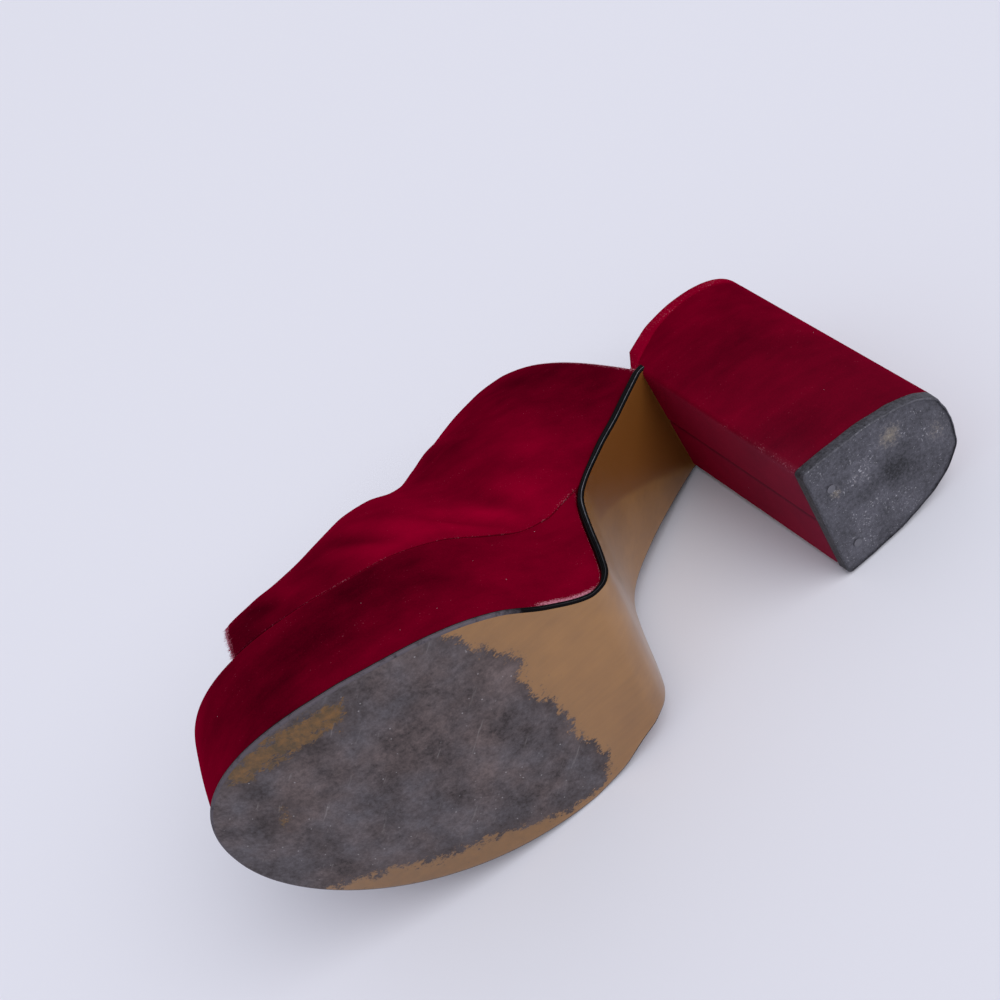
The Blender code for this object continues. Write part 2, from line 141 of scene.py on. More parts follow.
# The shoe's own frame, from the two flat spots that it would stand on: origin on the ground under
# the middle of the heel breast, X to the toe, Y to the inner side, Z up from the tread.
FOREFOOT_SPOT = (92.0, 15.0)
HEEL_SPOT = (-24.0, 0.0)
FLOOR_SOFTNESS = 0.35 * MM
spots = {mount["name"]: mount for mount in frame["record"]["mounts"]}
heel_spot = Vector(spots["heel_tread"]["pos_m"])
shoe_up = -Vector(spots["heel_tread"]["axis"]).normalized()
ahead = (Vector(spots["forefoot_tread"]["pos_m"]) - heel_spot).normalized()
inward = math.atan2(FOREFOOT_SPOT[1] - HEEL_SPOT[1], FOREFOOT_SPOT[0] - HEEL_SPOT[0])
to_toe = Matrix.Rotation(-inward, 3, shoe_up) @ ahead
SHOE_AXES = np.array([to_toe, shoe_up.cross(to_toe), shoe_up])
SHOE_ORIGIN = np.array(heel_spot) - np.array([*HEEL_SPOT, 0.0]) * MM @ SHOE_AXES


def in_place(points):
    """Carry points of the shoe's frame, in mm, to where the shoe lies, gently flattened at the floor."""
    placed = np.asarray(points, dtype=float) * MM @ SHOE_AXES + SHOE_ORIGIN
    placed[..., 2] = FLOOR_SOFTNESS * np.logaddexp(0.0, placed[..., 2] / FLOOR_SOFTNESS)
    return placed


def smooth(rows, column, x):
    """Monotone cubic through one column of a table, so that no curve swings past its rows."""
    xs, ys = rows["x"], rows[column]
    step = np.diff(xs)
    rise = np.diff(ys) / step
    slope = np.empty_like(ys)
    slope[0], slope[-1] = rise[0], rise[-1]
    before, after = rise[:-1], rise[1:]
    weight_before = 2 * step[1:] + step[:-1]
    weight_after = step[1:] + 2 * step[:-1]
    turns = before * after <= 0
    safe_before = np.where(turns, 1.0, before)
    safe_after = np.where(turns, 1.0, after)
    mean = (weight_before + weight_after) / (weight_before / safe_before + weight_after / safe_after)
    slope[1:-1] = np.where(turns, 0.0, mean)
    x = np.asarray(x, dtype=float)
    i = np.clip(np.searchsorted(xs, x) - 1, 0, len(step) - 1)
    t = np.clip((x - xs[i]) / step[i], 0.0, 1.0)
    start = (1 + 2 * t) * (1 - t) ** 2 * ys[i] + t * (1 - t) ** 2 * step[i] * slope[i]
    end = t ** 2 * (3 - 2 * t) * ys[i + 1] + t ** 2 * (t - 1) * step[i] * slope[i + 1]
    return start + end


def round_end(share, power):
    """Height of a quarter superellipse of unit size."""
    return (1 - np.clip(share, 0.0, 1.0) ** power) ** (1 / power)


def fade(value, start, end):
    """0 at start, 1 at end, smooth between."""
    t = np.clip((np.asarray(value, dtype=float) - start) / (end - start), 0.0, 1.0)
    return t * t * (3 - 2 * t)


def skewed(x, y):
    """Where the point of station x at the sideways place y really lies along the shoe."""
    return x - smooth(SKEW, "share", x) * (y - SKEW_Y)


def edge_at_station(rows, x):
    """Sideways place where a skewed station meets a sole edge."""
    y = smooth(rows, "y", x)
    for _ in range(4):
        y = smooth(rows, "y", skewed(x, y))
    return y


def sole_outline(x, inset=0.0, apex=TOE_X):
    """Inner and outer edge of the sole at station x, drawn in by an inset."""
    x = np.asarray(x, dtype=float)
    apex = apex - inset
    inner_toe = round_end((x - INNER_TOE_FROM_X) / (apex - INNER_TOE_FROM_X), INNER_TOE_POWER)
    outer_toe = round_end((x - OUTER_TOE_FROM_X) / (apex - OUTER_TOE_FROM_X), OUTER_TOE_POWER)
    inner = edge_at_station(INNER_EDGE, x) - inset
    outer = edge_at_station(OUTER_EDGE, x) + inset
    inner = np.where(x > INNER_TOE_FROM_X, TOE_Y + (inner - TOE_Y) * inner_toe, inner)
    outer = np.where(x > OUTER_TOE_FROM_X, TOE_Y + (outer - TOE_Y) * outer_toe, outer)
    return inner, outer


def underside(x):
    """Height of the sole's underside at x, with the toe spring."""
    share = np.clip((x - SPRING_FROM_X) / (TOE_X - SPRING_FROM_X), 0.0, None)
    return smooth(PROFILE, "z", x) + TOE_SPRING * share ** 2


def profile_normal(x):
    """Unit normal of the underside at x, pointing up into the shoe."""
    reach = 0.05
    slope = (underside(x + reach) - underside(x - reach)) / (2 * reach)
    length = np.sqrt(1 + slope ** 2)
    return -slope / length, 1 / length


SOLE_X = np.linspace(BREAST_X - 4.0, TOE_X, 4000)
SOLE_RUN = np.concatenate([[0.0], np.cumsum(np.hypot(np.diff(SOLE_X), np.diff(underside(SOLE_X))))])


def toe_stations(apex):
    """Places round the toe, closer together towards its apex."""
    reach = apex - TOE_CHORD - TOE_STATIONS_FROM_X
    return TOE_STATIONS_FROM_X + reach * np.sin(np.linspace(0.0, np.pi / 2, TOE_STATIONS))


def sole_stations(start, apex):
    """Places along the sole, evenly spaced along its profile and closer round the toe."""
    ends = np.interp([start, TOE_STATIONS_FROM_X], SOLE_X, SOLE_RUN)
    even = np.interp(np.arange(ends[0], ends[1], STATION_STEP), SOLE_RUN, SOLE_X)
    return np.concatenate([even, toe_stations(apex)])


def outward(along, side, sign):
    """Unit normal of an edge line in the flat, pointing away from the sheet. Sign is 1 on the inner side."""
    step_along, step_side = np.gradient(along), np.gradient(side)
    length = np.hypot(step_along, step_side)
    return -sign * step_side / length, sign * step_along / length


def sheet_rings(along, edges, thickness, rim, across, bend):
    """Sections of a sheet. rim gives its edge, from the middle of its side to its face, as insets and depths.

    Each ring runs over the lower face from the inner to the outer edge, and back over the upper face.
    bend(along, side, height) carries a point of the flat sheet to the shoe."""
    normals = [outward(along, side, sign) for side, sign in zip(edges, (1, -1))]
    room = np.minimum(1.0, thickness / (RIM_ROOM * rim[0][1]))
    halves = []
    for upper in (False, True):
        columns = []
        for inset, depth in rim:
            points = [(along - inset * n[0], side - inset * n[1]) for side, n in zip(edges, normals)]
            columns.append((points, thickness - depth * room if upper else depth * room))
        flat, height = columns[-1]
        half = [bend(*points[0], h) for points, h in columns]
        for share in np.linspace(0.0, 1.0, across)[1:-1]:
            half.append(bend(*((1 - share) * np.array(flat[0]) + share * np.array(flat[1])), height))
        half += [bend(*points[1], h) for points, h in columns[::-1]]
        halves.append(half)
    return np.stack(halves[0] + halves[1][::-1], axis=1)


def in_scene(name, data):
    """New object with that data, in the scene."""
    made = bpy.data.objects.new(name, data)
    bpy.context.scene.collection.objects.link(made)
    return made


def skin(name, rings, materials, columns=None, fields=None, sharp=40.0, tips=(), rim=0):
    """Closed mesh through rings of points. Point j of a ring faces point m - 1 - j across it.

    columns gives the material number of each strip along the piece, fields the values stored on its points.
    tips names the end rings, 0 or -1, where a sheet with that many points in its rim narrows to a point."""
    count, size = rings.shape[:2]
    index = np.arange(count * size).reshape(count, size)
    beside = np.roll(index, -1, axis=1)
    faces = np.stack([index[:-1], beside[:-1], beside[1:], index[1:]], axis=-1).reshape(-1, 4).tolist()
    slots = np.tile(np.zeros(size) if columns is None else columns, count - 1)
    for end in (0, -1):
        near, facing = index[end][:size // 2], index[end][::-1][:size // 2]
        if end in tips:
            faces.append([near[0], near[-1], facing[-1], facing[0]])
            for half in (near, facing):
                faces += [[half[i], half[i + 1], half[-2 - i], half[-1 - i]] for i in range(rim - 2)]
                faces.append(half[rim - 2:size // 2 - rim + 2].tolist())
        else:
            faces += np.stack([near[:-1], near[1:], facing[1:], facing[:-1]], axis=-1).tolist()
    slots = np.concatenate([slots, np.full(len(faces) - len(slots), slots[0])])
    mesh = bpy.data.meshes.new(name)
    mesh.from_pydata(in_place(rings.reshape(-1, 3)), [], faces)
    for material in materials:
        mesh.materials.append(material)
    mesh.polygons.foreach_set("material_index", slots.astype(np.int32))
    for field, values in (fields or {}).items():
        stored = mesh.attributes.new(field, "FLOAT", "POINT")
        stored.data.foreach_set("value", np.asarray(values, dtype=np.float32).ravel())
    work = bmesh.new()
    work.from_mesh(mesh)
    bmesh.ops.recalc_face_normals(work, faces=work.faces)
    work.to_mesh(mesh)
    work.free()
    mesh.shade_smooth()
    mesh.set_sharp_from_angle(angle=math.radians(sharp))
    return in_scene(name, mesh)


def linear(colour):
    """Linear RGBA of an sRGB hex colour."""
    values = [int(colour[i:i + 2], 16) / 255 for i in (1, 3, 5)]
    return (*(v / 12.92 if v <= 0.04045 else ((v + 0.055) / 1.055) ** 2.4 for v in values), 1.0)


def add(tree, kind, inputs=(), **settings):
    """Add a node with its settings. inputs pairs a socket's name or number with a value or an output."""
    made = tree.nodes.new(kind)
    for name, value in settings.items():
        setattr(made, name, value)
    for socket, value in inputs:
        if isinstance(value, bpy.types.NodeSocket):
            tree.links.new(value, made.inputs[socket])
        else:
            made.inputs[socket].default_value = value
    return made


def new_material(name):
    """Empty material with its tree, Principled shader and object coordinates."""
    material = bpy.data.materials.new(name)
    material.use_nodes = True
    tree = material.node_tree
    shader = tree.nodes["Principled BSDF"]
    place = add(tree, "ShaderNodeTexCoord").outputs["Object"]
    return material, tree, shader, place


def per_mm(size):
    """Scale of a noise on object coordinates, in metres, for a feature of that many millimetres."""
    return 1 / (size * MM)


def field(tree, name):
    """Value stored on the points of the mesh."""
    return add(tree, "ShaderNodeAttribute", attribute_name=name).outputs["Fac"]


def drawn_out(tree, place, times, turn=0.0):
    """Coordinates that draw a pattern out along the shoe, turned by an angle in the plane of the tread."""
    return add(tree, "ShaderNodeMapping", [("Vector", place), ("Rotation", (0.0, turn, 0.0)),
                                           ("Scale", (times, 1.0, 1.0))], vector_type="TEXTURE").outputs[0]


def grain(tree, place, size, detail=4.0, rough=0.6):
    """Noise with features of about that many millimetres."""
    return add(tree, "ShaderNodeTexNoise", [
        ("Vector", place), ("Scale", per_mm(size)), ("Detail", detail), ("Roughness", rough)]).outputs[0]


def ramp(tree, value, low, high, to_low=0.0, to_high=1.0):
    """Straight ramp of a value between two limits."""
    return add(tree, "ShaderNodeMapRange", [("Value", value), ("From Min", low), ("From Max", high),
                                            ("To Min", to_low), ("To Max", to_high)]).outputs[0]


def scaled(tree, value, factor, plus=0.0):
    """value times factor plus a number, each a number or a socket."""
    return add(tree, "ShaderNodeMath", [(0, value), (1, factor), (2, plus)],
               operation="MULTIPLY_ADD").outputs[0]


def mix(tree, factor, first, second):
    """Mix of two colours, each an sRGB hex or a socket."""
    pair = [linear(c) if isinstance(c, str) else c for c in (first, second)]
    return add(tree, "ShaderNodeMix", [(0, factor), (6, pair[0]), (7, pair[1])], data_type="RGBA").outputs[2]


def specks(tree, place, spacing, size, share):
    """Sparse dots of that radius in mm: 1 inside a dot. Of the cells, spacing mm apart, a share holds one."""
    cells = add(tree, "ShaderNodeTexVoronoi", [("Vector", place), ("Scale", per_mm(spacing))])
    dot = ramp(tree, cells.outputs["Distance"], size / spacing, 0.5 * size / spacing)
    chance = add(tree, "ShaderNodeSeparateColor", [("Color", cells.outputs["Color"])]).outputs[0]
    return scaled(tree, dot, ramp(tree, chance, 1 - share, 1.0 - 0.5 * share))


def emboss(tree, shader, height, depth, strength=0.3):
    """Raise and sink the surface by a pattern, as deep as that many millimetres."""
    bump = add(tree, "ShaderNodeBump", [
        ("Strength", strength), ("Distance", depth * MM), ("Height", height)]).outputs[0]
    tree.links.new(bump, shader.inputs["Normal"])


def sole_leather():
    """Varnished sole leather: glossy amber where whole, rough purple-grey and gritty where it has walked."""
    material, tree, shader, place = new_material("varnished_sole_leather")
    strokes = drawn_out(tree, place, 1.6)
    line = scaled(tree, grain(tree, strokes, 3.6, 6.0, 0.74), 17.0, field(tree, "wear"))
    line = scaled(tree, grain(tree, strokes, 0.6, 3.0), 8.0, line)
    line = scaled(tree, line, 1.0, -12.5)
    worn = ramp(tree, line, -0.6, 1.2)
    cloud = grain(tree, place, 34.0)
    streaks = grain(tree, drawn_out(tree, place, 9.0), 2.5)
    varied = scaled(tree, cloud, 0.8, scaled(tree, streaks, 0.28))
    amber = mix(tree, ramp(tree, varied, 0.3, 0.75), "#6e4615", "#94662b")
    amber = mix(tree, field(tree, "waist"), amber, "#6b4013")
    amber = mix(tree, ramp(tree, line, -9.0, 1.0, 0.0, 0.6), amber, "#7a5321")
    stain = scaled(tree, specks(tree, place, 2.2, 0.38, 0.4), ramp(tree, line, -10.0, -1.0, 0.0, 0.7))
    amber = mix(tree, stain, amber, "#40291a")
    grime = ramp(tree, grain(tree, place, 2.4, 5.0, 0.7), 0.36, 0.62, 0.35, 0.95)
    amber = mix(tree, scaled(tree, grime, field(tree, "dirt")), amber, "#463418")
    fine = grain(tree, place, 1.3, 5.0, 0.75)
    mottle = scaled(tree, grain(tree, place, 14.0, 6.0, 0.68), 0.85, scaled(tree, fine, 0.65))
    tone = mix(tree, ramp(tree, grain(tree, place, 22.0, 3.0), 0.38, 0.62), "#6a5c5b", "#605b60")
    grey = mix(tree, ramp(tree, mottle, 0.56, 0.94), "#2e2627", tone)
    grey = mix(tree, ramp(tree, line, 1.0, 7.0, 0.45, 0.0), grey, "#413635")
    scratch = ramp(tree, grain(tree, drawn_out(tree, place, 14.0, 0.7), 1.5, 3.0), 0.66, 0.76, 0.0, 0.35)
    grey = mix(tree, scratch, grey, "#8b8584")
    grit = specks(tree, place, 2.1, 0.3, 0.3)
    grey = mix(tree, scaled(tree, grit, 0.45), grey, "#b4b0b2")
    colour = mix(tree, worn, amber, grey)
    rough = ramp(tree, worn, 0.0, 1.0, 0.42, 0.78)
    height = add(tree, "ShaderNodeMix", [(0, worn), (2, scaled(tree, streaks, 0.25)), (3, mottle)]).outputs[0]
    emboss(tree, shader, height, 0.25)
    tree.links.new(colour, shader.inputs["Base Color"])
    tree.links.new(rough, shader.inputs["Roughness"])
    glossy = ramp(tree, field(tree, "dirt"), 0.0, 1.0, 1.0, 0.15)
    glossy = scaled(tree, glossy, ramp(tree, worn, 0.0, 1.0, 1.0, 0.0))
    tree.links.new(glossy, shader.inputs["Coat Weight"])
    shader.inputs["Specular IOR Level"].default_value = 0.4
    shader.inputs["Coat Roughness"].default_value = 0.38
    return material


def inked_edge():
    """Leather edge burnished with black ink, with a highlight painted along its bead; the forefoot is rubbed
    grey.
    """
    material, tree, shader, place = new_material("inked_leather_edge")
    rub = grain(tree, place, 2.2, 5.0, 0.7)
    rubbed = ramp(tree, scaled(tree, rub, field(tree, "scuff")), 0.2, 0.55)
    colour = mix(tree, rubbed, "#030203", "#565056")
    # Painted highlight: the bead is lightened to grey where it would catch the light.
    lit = scaled(tree, ramp(tree, grain(tree, place, 1.6), 0.3, 0.6, 0.35, 1.0), field(tree, "bead"))
    colour = mix(tree, lit, colour, "#83848b")
    emboss(tree, shader, rub, 0.15)
    tree.links.new(colour, shader.inputs["Base Color"])
    shader.inputs["Roughness"].default_value = 0.45
    shader.inputs["Specular IOR Level"].default_value = 0.06
    return material


def bend_sole(along, side, height):
    """Bend a point of the flat sole sheet along the profile, raised above the underside by height."""
    x = np.interp(along, SOLE_RUN, SOLE_X)
    normal_x, normal_z = profile_normal(x)
    x, z = x + height * normal_x, underside(x) + height * normal_z
    return np.stack([skewed(x, side), side, z], axis=-1)


def line_distance(x, y, x0, y0, x1, y1):
    """Distance from points to a straight line between two ends, and the share along it."""
    run_x, run_y = x1 - x0, y1 - y0
    share = np.clip(((x - x0) * run_x + (y - y0) * run_y) / (run_x ** 2 + run_y ** 2), 0.0, 1.0)
    return np.hypot(x - x0 - share * run_x, y - y0 - share * run_y), share


def tread_wear(points):
    """How far inside the worn part of the tread points lie, in mm, negative on what kept its varnish."""
    x, y = points[..., 0], points[..., 1]
    inside = np.minimum(x - smooth(WORN_FROM, "reach", y), y - smooth(KEPT_STRIP, "edge", x))
    for i in range(len(KEPT_PATCHES["half"])):
        ends = [KEPT_PATCHES[name][i] for name in ("x0", "y0", "x1", "y1")]
        inside = np.minimum(inside, line_distance(x, y, *ends)[0] - KEPT_PATCHES["half"][i])
    deepest = -WEAR_LIMIT + (WEAR_LIMIT - RUBBED_STRIP) * fade(x, *RUBBED_STRIP_FROM)
    return np.clip(inside, deepest, WEAR_LIMIT)


stations = sole_stations(BREAST_X - TUCK_UNDER_HEEL, TOE_X)
rings = sheet_rings(np.interp(stations, SOLE_X, SOLE_RUN), sole_outline(stations),
                    smooth(SOLE_GAUGE, "thickness", stations), SOLE_RIM, SOLE_ACROSS, bend_sole)
half_ring = rings.shape[1] // 2
column = np.arange(rings.shape[1])
strip = column % half_ring
inked = (strip < len(SOLE_RIM) - 1) | (strip >= half_ring - len(SOLE_RIM))
x, y = rings[..., 0], rings[..., 1]
scuff = fade(x, *INK_RUBBED) * np.where(column < half_ring, INK_RUBBED_BELOW, INK_RUBBED_ABOVE)
# Painted highlight along the bead: strongest along the waist, gone by the forefoot.
bead = np.isin(column, (BEAD, half_ring - 1 - BEAD)) * (0.25 + 0.75 * fade(x, *BEAD_BRIGHT))
bead = bead * fade(x, *BEAD_ENDS)
past_line = (y - MIRROR_Y - MIRROR_SLOPE * (x - MIRROR_X)) / math.hypot(1.0, MIRROR_SLOPE)
waist = fade(past_line, *MIRROR_BLUR) * fade(x, *MIRROR_ENDS)
dirt = fade(x, *DIRT_ALONG) * (0.3 + 0.7 * fade(y, *DIRT_ACROSS))
outsole = skin("outsole_leather", rings, [sole_leather(), inked_edge()], inked.astype(int),
               {"wear": tread_wear(rings), "dirt": dirt, "scuff": scuff,
                "bead": bead, "waist": waist}, tips=(-1,), rim=len(SOLE_RIM))
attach(outsole, "root")
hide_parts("outsole")

# Platform
# A light block under the forefoot with cotton velvet glued round its side and turned in at top and
# bottom. The cover is rubbed bare and pale along its lower back corner and up the back edge.

PLATFORM_INSET = 0.6
PLATFORM_TOE_SETBACK = 1.8
PLATFORM_MIN_THICKNESS = 1.2
WAIST_JOIN_X = 51.0
PLATFORM_SIDE_POINTS = 33
PLATFORM_TOP = table(("x", "z"), [
    (54.5, 47.6), (60.0, 44.5), (67.0, 41.8), (76.0, 41.4), (90.0, 43.0), (104.0, 42.8), (125.0, 41.6),
    (140.0, 42.0), (158.0, 43.0), (TOE_X, 48.0)])
SEAT_RISE = table(("x", "rise"), [
    (-52.0, 16.2), (-38.0, 15.8), (-24.0, 14.3), (-13.0, 11.0), (-5.0, 6.4), (BREAST_X, 0.0)])

# Side of the platform from its bottom to its top edge, as shares of the height and insets.
PLATFORM_SIDE = table(("x", "inset"), [
    (0.0, 0.5), (0.03, 0.15), (0.12, 0.0), (0.5, -0.3), (0.85, 0.0), (0.97, 0.3), (1.0, 0.9)])

# Places where the velvet is painted lighter or darker, as light and shade: middle along the shoe and above
# the sole, half sizes, tone.
PLATFORM_PAINTED_LIGHT = table(("x", "rise", "length", "height", "tone"), [
    (66.0, 22.0, 20.0, 30.0, 0.1), (112.0, 34.0, 18.0, 9.0, -0.12), (150.0, 18.0, 45.0, 30.0, -0.18),
    (128.0, 6.0, 14.0, 5.0, 0.06)])

# Rubbed places, in mm along the shoe and above the sole: the lower back corner and the back edge, or riser.
CORNER_BEGINS = (64.0, 70.0)
CORNER_ENDS = (86.0, 79.0)
CORNER_RUB_RISE = (2.6, 0.6)
RISER_ENDS = (70.0, 63.0)
RISER_RUB_RISE = (0.7, 0.2)
RISER_FRAYS_TO_X = 74.0
RISER_FRAYS_ON = 2


def sole_upper_face(x, clearance=0.0):
    """Points of the sole's upper face above the stations x."""
    normal_x, normal_z = profile_normal(x)
    offset = smooth(SOLE_GAUGE, "thickness", x) + clearance
    return x + offset * normal_x, underside(x) + offset * normal_z


FINE_TOP_X, FINE_TOP_Z = sole_upper_face(SOLE_X)
FEATHER_FRONT = {
    "x": np.concatenate([[WAIST_JOIN_X], PLATFORM_TOP["x"]]),
    "z": np.concatenate([[np.interp(WAIST_JOIN_X, FINE_TOP_X, FINE_TOP_Z)], PLATFORM_TOP["z"]])}


def feather(x):
    """Height of the surface that carries insole and upper: heel seat, waist and platform top."""
    x = np.asarray(x, dtype=float)
    seat = np.interp(BREAST_X, FINE_TOP_X, FINE_TOP_Z) + smooth(SEAT_RISE, "rise", x)
    waist = np.interp(x, FINE_TOP_X, FINE_TOP_Z)
    front = smooth(FEATHER_FRONT, "z", x)
    return np.where(x < BREAST_X, seat, np.where(x < WAIST_JOIN_X, waist, np.maximum(front, waist)))


def uneven(rings, size, height):
    """Gentle hand-made unevenness at every point, in mm."""
    flat = rings.reshape(-1, 3) / size
    return np.array([noise.noise(Vector(point)) for point in flat]).reshape(rings.shape[:2]) * height


def painted_patches(rows, x, rise):
    """Painted light and shade from the soft patches of a table."""
    tone = np.zeros(np.broadcast(x, rise).shape)
    for i in range(len(rows["x"])):
        away_x = (x - rows["x"][i]) / rows["length"][i]
        away_up = (rise - rows["rise"][i]) / rows["height"][i]
        tone += rows["tone"][i] * np.exp(-(away_x ** 2 + away_up ** 2))
    return tone


def velvet(name):
    """Cotton velvet: deep crimson seen into the pile, lighter where the nap leans or its tips are lit.

    The stored nap value lightens or darkens the pile: painted light and shade, such as lighter fold crests,
    and pile pressed flat by the foot. rub bares the pale ground cloth, haze is dust. The real tufts
    are 0.2 mm apart and are drawn at 0.5 mm, to show."""
    material, tree, shader, place = new_material(name)
    strokes = grain(tree, drawn_out(tree, place, 4.5), 6.0, 5.0)
    tufts = grain(tree, place, 0.5, 1.0)
    tone = scaled(tree, grain(tree, place, 30.0, 3.0), 0.5, field(tree, "nap_and_painted_light"))
    tone = scaled(tree, strokes, 0.25, tone)
    tone = scaled(tree, tufts, 0.16, tone)
    colour = mix(tree, ramp(tree, tone, 0.1, 1.1), "#35000b", "#9a0028")
    bare = scaled(tree, strokes, 0.5, scaled(tree, tufts, 0.9, field(tree, "rub")))
    colour = mix(tree, field(tree, "haze"), colour, "#9c7590")
    colour = mix(tree, ramp(tree, bare, 0.95, 1.35, 0.0, 0.85), colour, "#b87989")
    pile = scaled(tree, strokes, 0.6, tufts)
    emboss(tree, shader, pile, 0.3)
    tree.links.new(colour, shader.inputs["Base Color"])
    shader.inputs["Roughness"].default_value = 1.0
    shader.inputs["Specular IOR Level"].default_value = 0.0
    shader.inputs["Sheen Weight"].default_value = 0.3
    shader.inputs["Sheen Roughness"].default_value = 0.4
    shader.inputs["Sheen Tint"].default_value = linear("#d0003a")
    return material


def platform_rings():
    """Sections of the covered block, up its inner side and down its outer one, with heights over the sole."""
    x = sole_stations(WAIST_JOIN_X, TOE_X - PLATFORM_INSET)
    low_x, low_z = sole_upper_face(x, GAP)
    edges = sole_outline(x, PLATFORM_INSET)
    past = np.clip(low_x - TOE_STATIONS_FROM_X, 0.0, None)
    high_x = low_x - past * PLATFORM_TOE_SETBACK / (TOE_X - TOE_STATIONS_FROM_X)
    high_z = feather(high_x)
    keep = (high_z - low_z > PLATFORM_MIN_THICKNESS) & (low_x > WAIST_JOIN_X)
    rises = (1 - np.cos(np.linspace(0.0, np.pi, PLATFORM_SIDE_POINTS))) / 2
    sides = []
    for side, sign in zip(edges, (1, -1)):
        normal = outward(low_x, side, sign)
        points = []
        for rise in rises:
            inset = smooth(PLATFORM_SIDE, "inset", rise)
            px = low_x + rise * (high_x - low_x) - inset * normal[0]
            py = side - inset * normal[1]
            points.append(np.stack([skewed(px, py), py, low_z + rise * (high_z - low_z)], axis=-1)[keep])
        sides.append(points)
    height = (high_z - low_z)[keep, None] * np.concatenate([rises, rises[::-1]])
    return np.stack(sides[0] + sides[1][::-1], axis=1), height, profile_normal(x)[1][keep, None]


rings, height, upright = platform_rings()
from_sole = height * upright
x = rings[..., 0]
corner_rub = fade(x, *CORNER_ENDS) * fade(x, *CORNER_BEGINS) * fade(from_sole, *CORNER_RUB_RISE)
riser_rub = fade(x, *RISER_ENDS) * fade(from_sole, *RISER_RUB_RISE)
rub = np.maximum(0.6 * corner_rub, 0.15 * riser_rub)
# Painted light and shade: the back of the platform lighter, below its top edge and towards the toe darker.
nap_and_painted_light = painted_patches(PLATFORM_PAINTED_LIGHT, x, height) - 0.08
riser_edge = rings[:, RISER_FRAYS_ON]
riser_edge = riser_edge[riser_edge[:, 0] < RISER_FRAYS_TO_X]
platform = skin("platform_cover", rings, [velvet("cotton_velvet_platform")], fields={"rub": rub, "nap_and_painted_light": nap_and_painted_light})
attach(platform, "root")
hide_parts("platform")

# Insole
# The footbed: a thin board under foam, covered in the same velvet, from the toe to the back of the heel
# seat. The foot has pressed the pile flat under heel, ball and toes.

INSOLE_INSET = 3.9
INSOLE_ACROSS = 40
SEAT_FULL_X = 1.5
SEAT_INSIDE_X = 4.8
SEAT_STATIONS = 40
HEEL_SEAT_WIDTH = 50.3
HEEL_SEAT_LENGTH = 54.5
HEEL_SEAT_Y = 2.75
HEEL_INNER_POWER = 3.3
HEEL_OUTER_POWER = 2.4

# Thickness of the footbed, which is padded under the heel and the arch.
INSOLE_GAUGE = table(("x", "thickness"), [
    (-52.0, 4.5), (-20.0, 5.0), (-5.0, 5.8), (10.0, 6.2), (24.0, 5.4), (45.0, 3.4), (60.0, 3.0),
    (TOE_X, 3.0)])

# Edge of the footbed from the middle of its side to its face, as inset and depth.
INSOLE_RIM = ((0.0, 1.3), (0.0, 1.1), (0.05, 0.76), (0.21, 0.45), (0.45, 0.21), (0.76, 0.05), (1.1, 0.0))

# Places where the foot presses: middle, half length, half width, depth.
FOOT_PRESSES = table(("x", "y", "length", "width", "depth"), [
    (-22.0, 2.75, 24.0, 20.0, 0.7), (112.0, 22.0, 30.0, 36.0, 0.7), (165.0, 34.0, 14.0, 24.0, 0.5)])


def seat_outline(x):
    """Inner and outer edge of the heel seat at x."""
    share = (BREAST_X - np.asarray(x)) / HEEL_SEAT_LENGTH
    half = HEEL_SEAT_WIDTH / 2
    inner = HEEL_SEAT_Y + half * round_end(share, HEEL_INNER_POWER)
    return inner, HEEL_SEAT_Y - half * round_end(share, HEEL_OUTER_POWER)


def pressed(x, y):
    """How far the foot has pressed the footbed at a place, in mm."""
    depth = np.zeros_like(x)
    for i in range(len(FOOT_PRESSES["x"])):
        middle_x, middle_y, length, width, deep = (FOOT_PRESSES[name][i] for name in FOOT_PRESSES)
        depth += deep * np.exp(-(((x - middle_x) / length) ** 2 + ((y - middle_y) / width) ** 2) ** 1.5)
    return depth


def lay_insole(along, side, height):
    """Carry a point of the flat insole to the surface that carries it."""
    reach = 0.5
    slope = (feather(along + reach) - feather(along - reach)) / (2 * reach)
    lift = height * np.sqrt(1 + slope ** 2)
    share = height / smooth(INSOLE_GAUGE, "thickness", along)
    lift = lift - pressed(along, side) * fade(share, 0.5, 1.0)
    return np.stack([skewed(along, side), side, feather(along) + GAP + lift], axis=-1)


apex = TOE_X - PLATFORM_TOE_SETBACK
seat_back = BREAST_X - HEEL_SEAT_LENGTH + TOE_CHORD
behind = seat_back + (SEAT_FULL_X - seat_back) * (1 - np.cos(np.linspace(0.0, np.pi / 2, SEAT_STATIONS)))
even = np.arange(SEAT_INSIDE_X, TOE_STATIONS_FROM_X, STATION_STEP)
stations = np.concatenate([behind, even, toe_stations(apex - INSOLE_INSET)])
on_seat = stations <= SEAT_FULL_X
edges = [np.where(on_seat, seat, foot)
         for seat, foot in zip(seat_outline(stations), sole_outline(stations, INSOLE_INSET, apex))]
rings = sheet_rings(stations, edges, smooth(INSOLE_GAUGE, "thickness", stations), INSOLE_RIM, INSOLE_ACROSS,
                    lay_insole)
press = pressed(rings[..., 0], rings[..., 1])
half_ring = rings.shape[1] // 2
rim_share = np.abs(np.arange(rings.shape[1]) % half_ring - (half_ring - 1) / 2) / ((half_ring - 1) / 2)
rim = fade(rim_share, 0.74, 0.86)[None, :] * np.ones(rings.shape[:2])
insole = skin("insole_cover", rings, [velvet("cotton_velvet_insole")],
              fields={"rub": 0.12 * rim, "nap_and_painted_light": 0.2 * rim - 0.3 * press}, sharp=60.0,
              tips=(0, -1), rim=len(INSOLE_RIM))
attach(insole, "root")
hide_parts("insole")

# Upper
# One wide vamp of velvet over a stiff lining, lasted in under the insole on both sides and cut open at
# toe and back. Walking has folded its inner side in a fan from the waist, and its outer side less.

UPPER_WALL = 2.0
UPPER_INSET = 1.5
UPPER_STATIONS = 150
UPPER_ARC_POINTS = 181
ARC_GATHER = 0.85
UPPER_EDGE_RINGS = 5

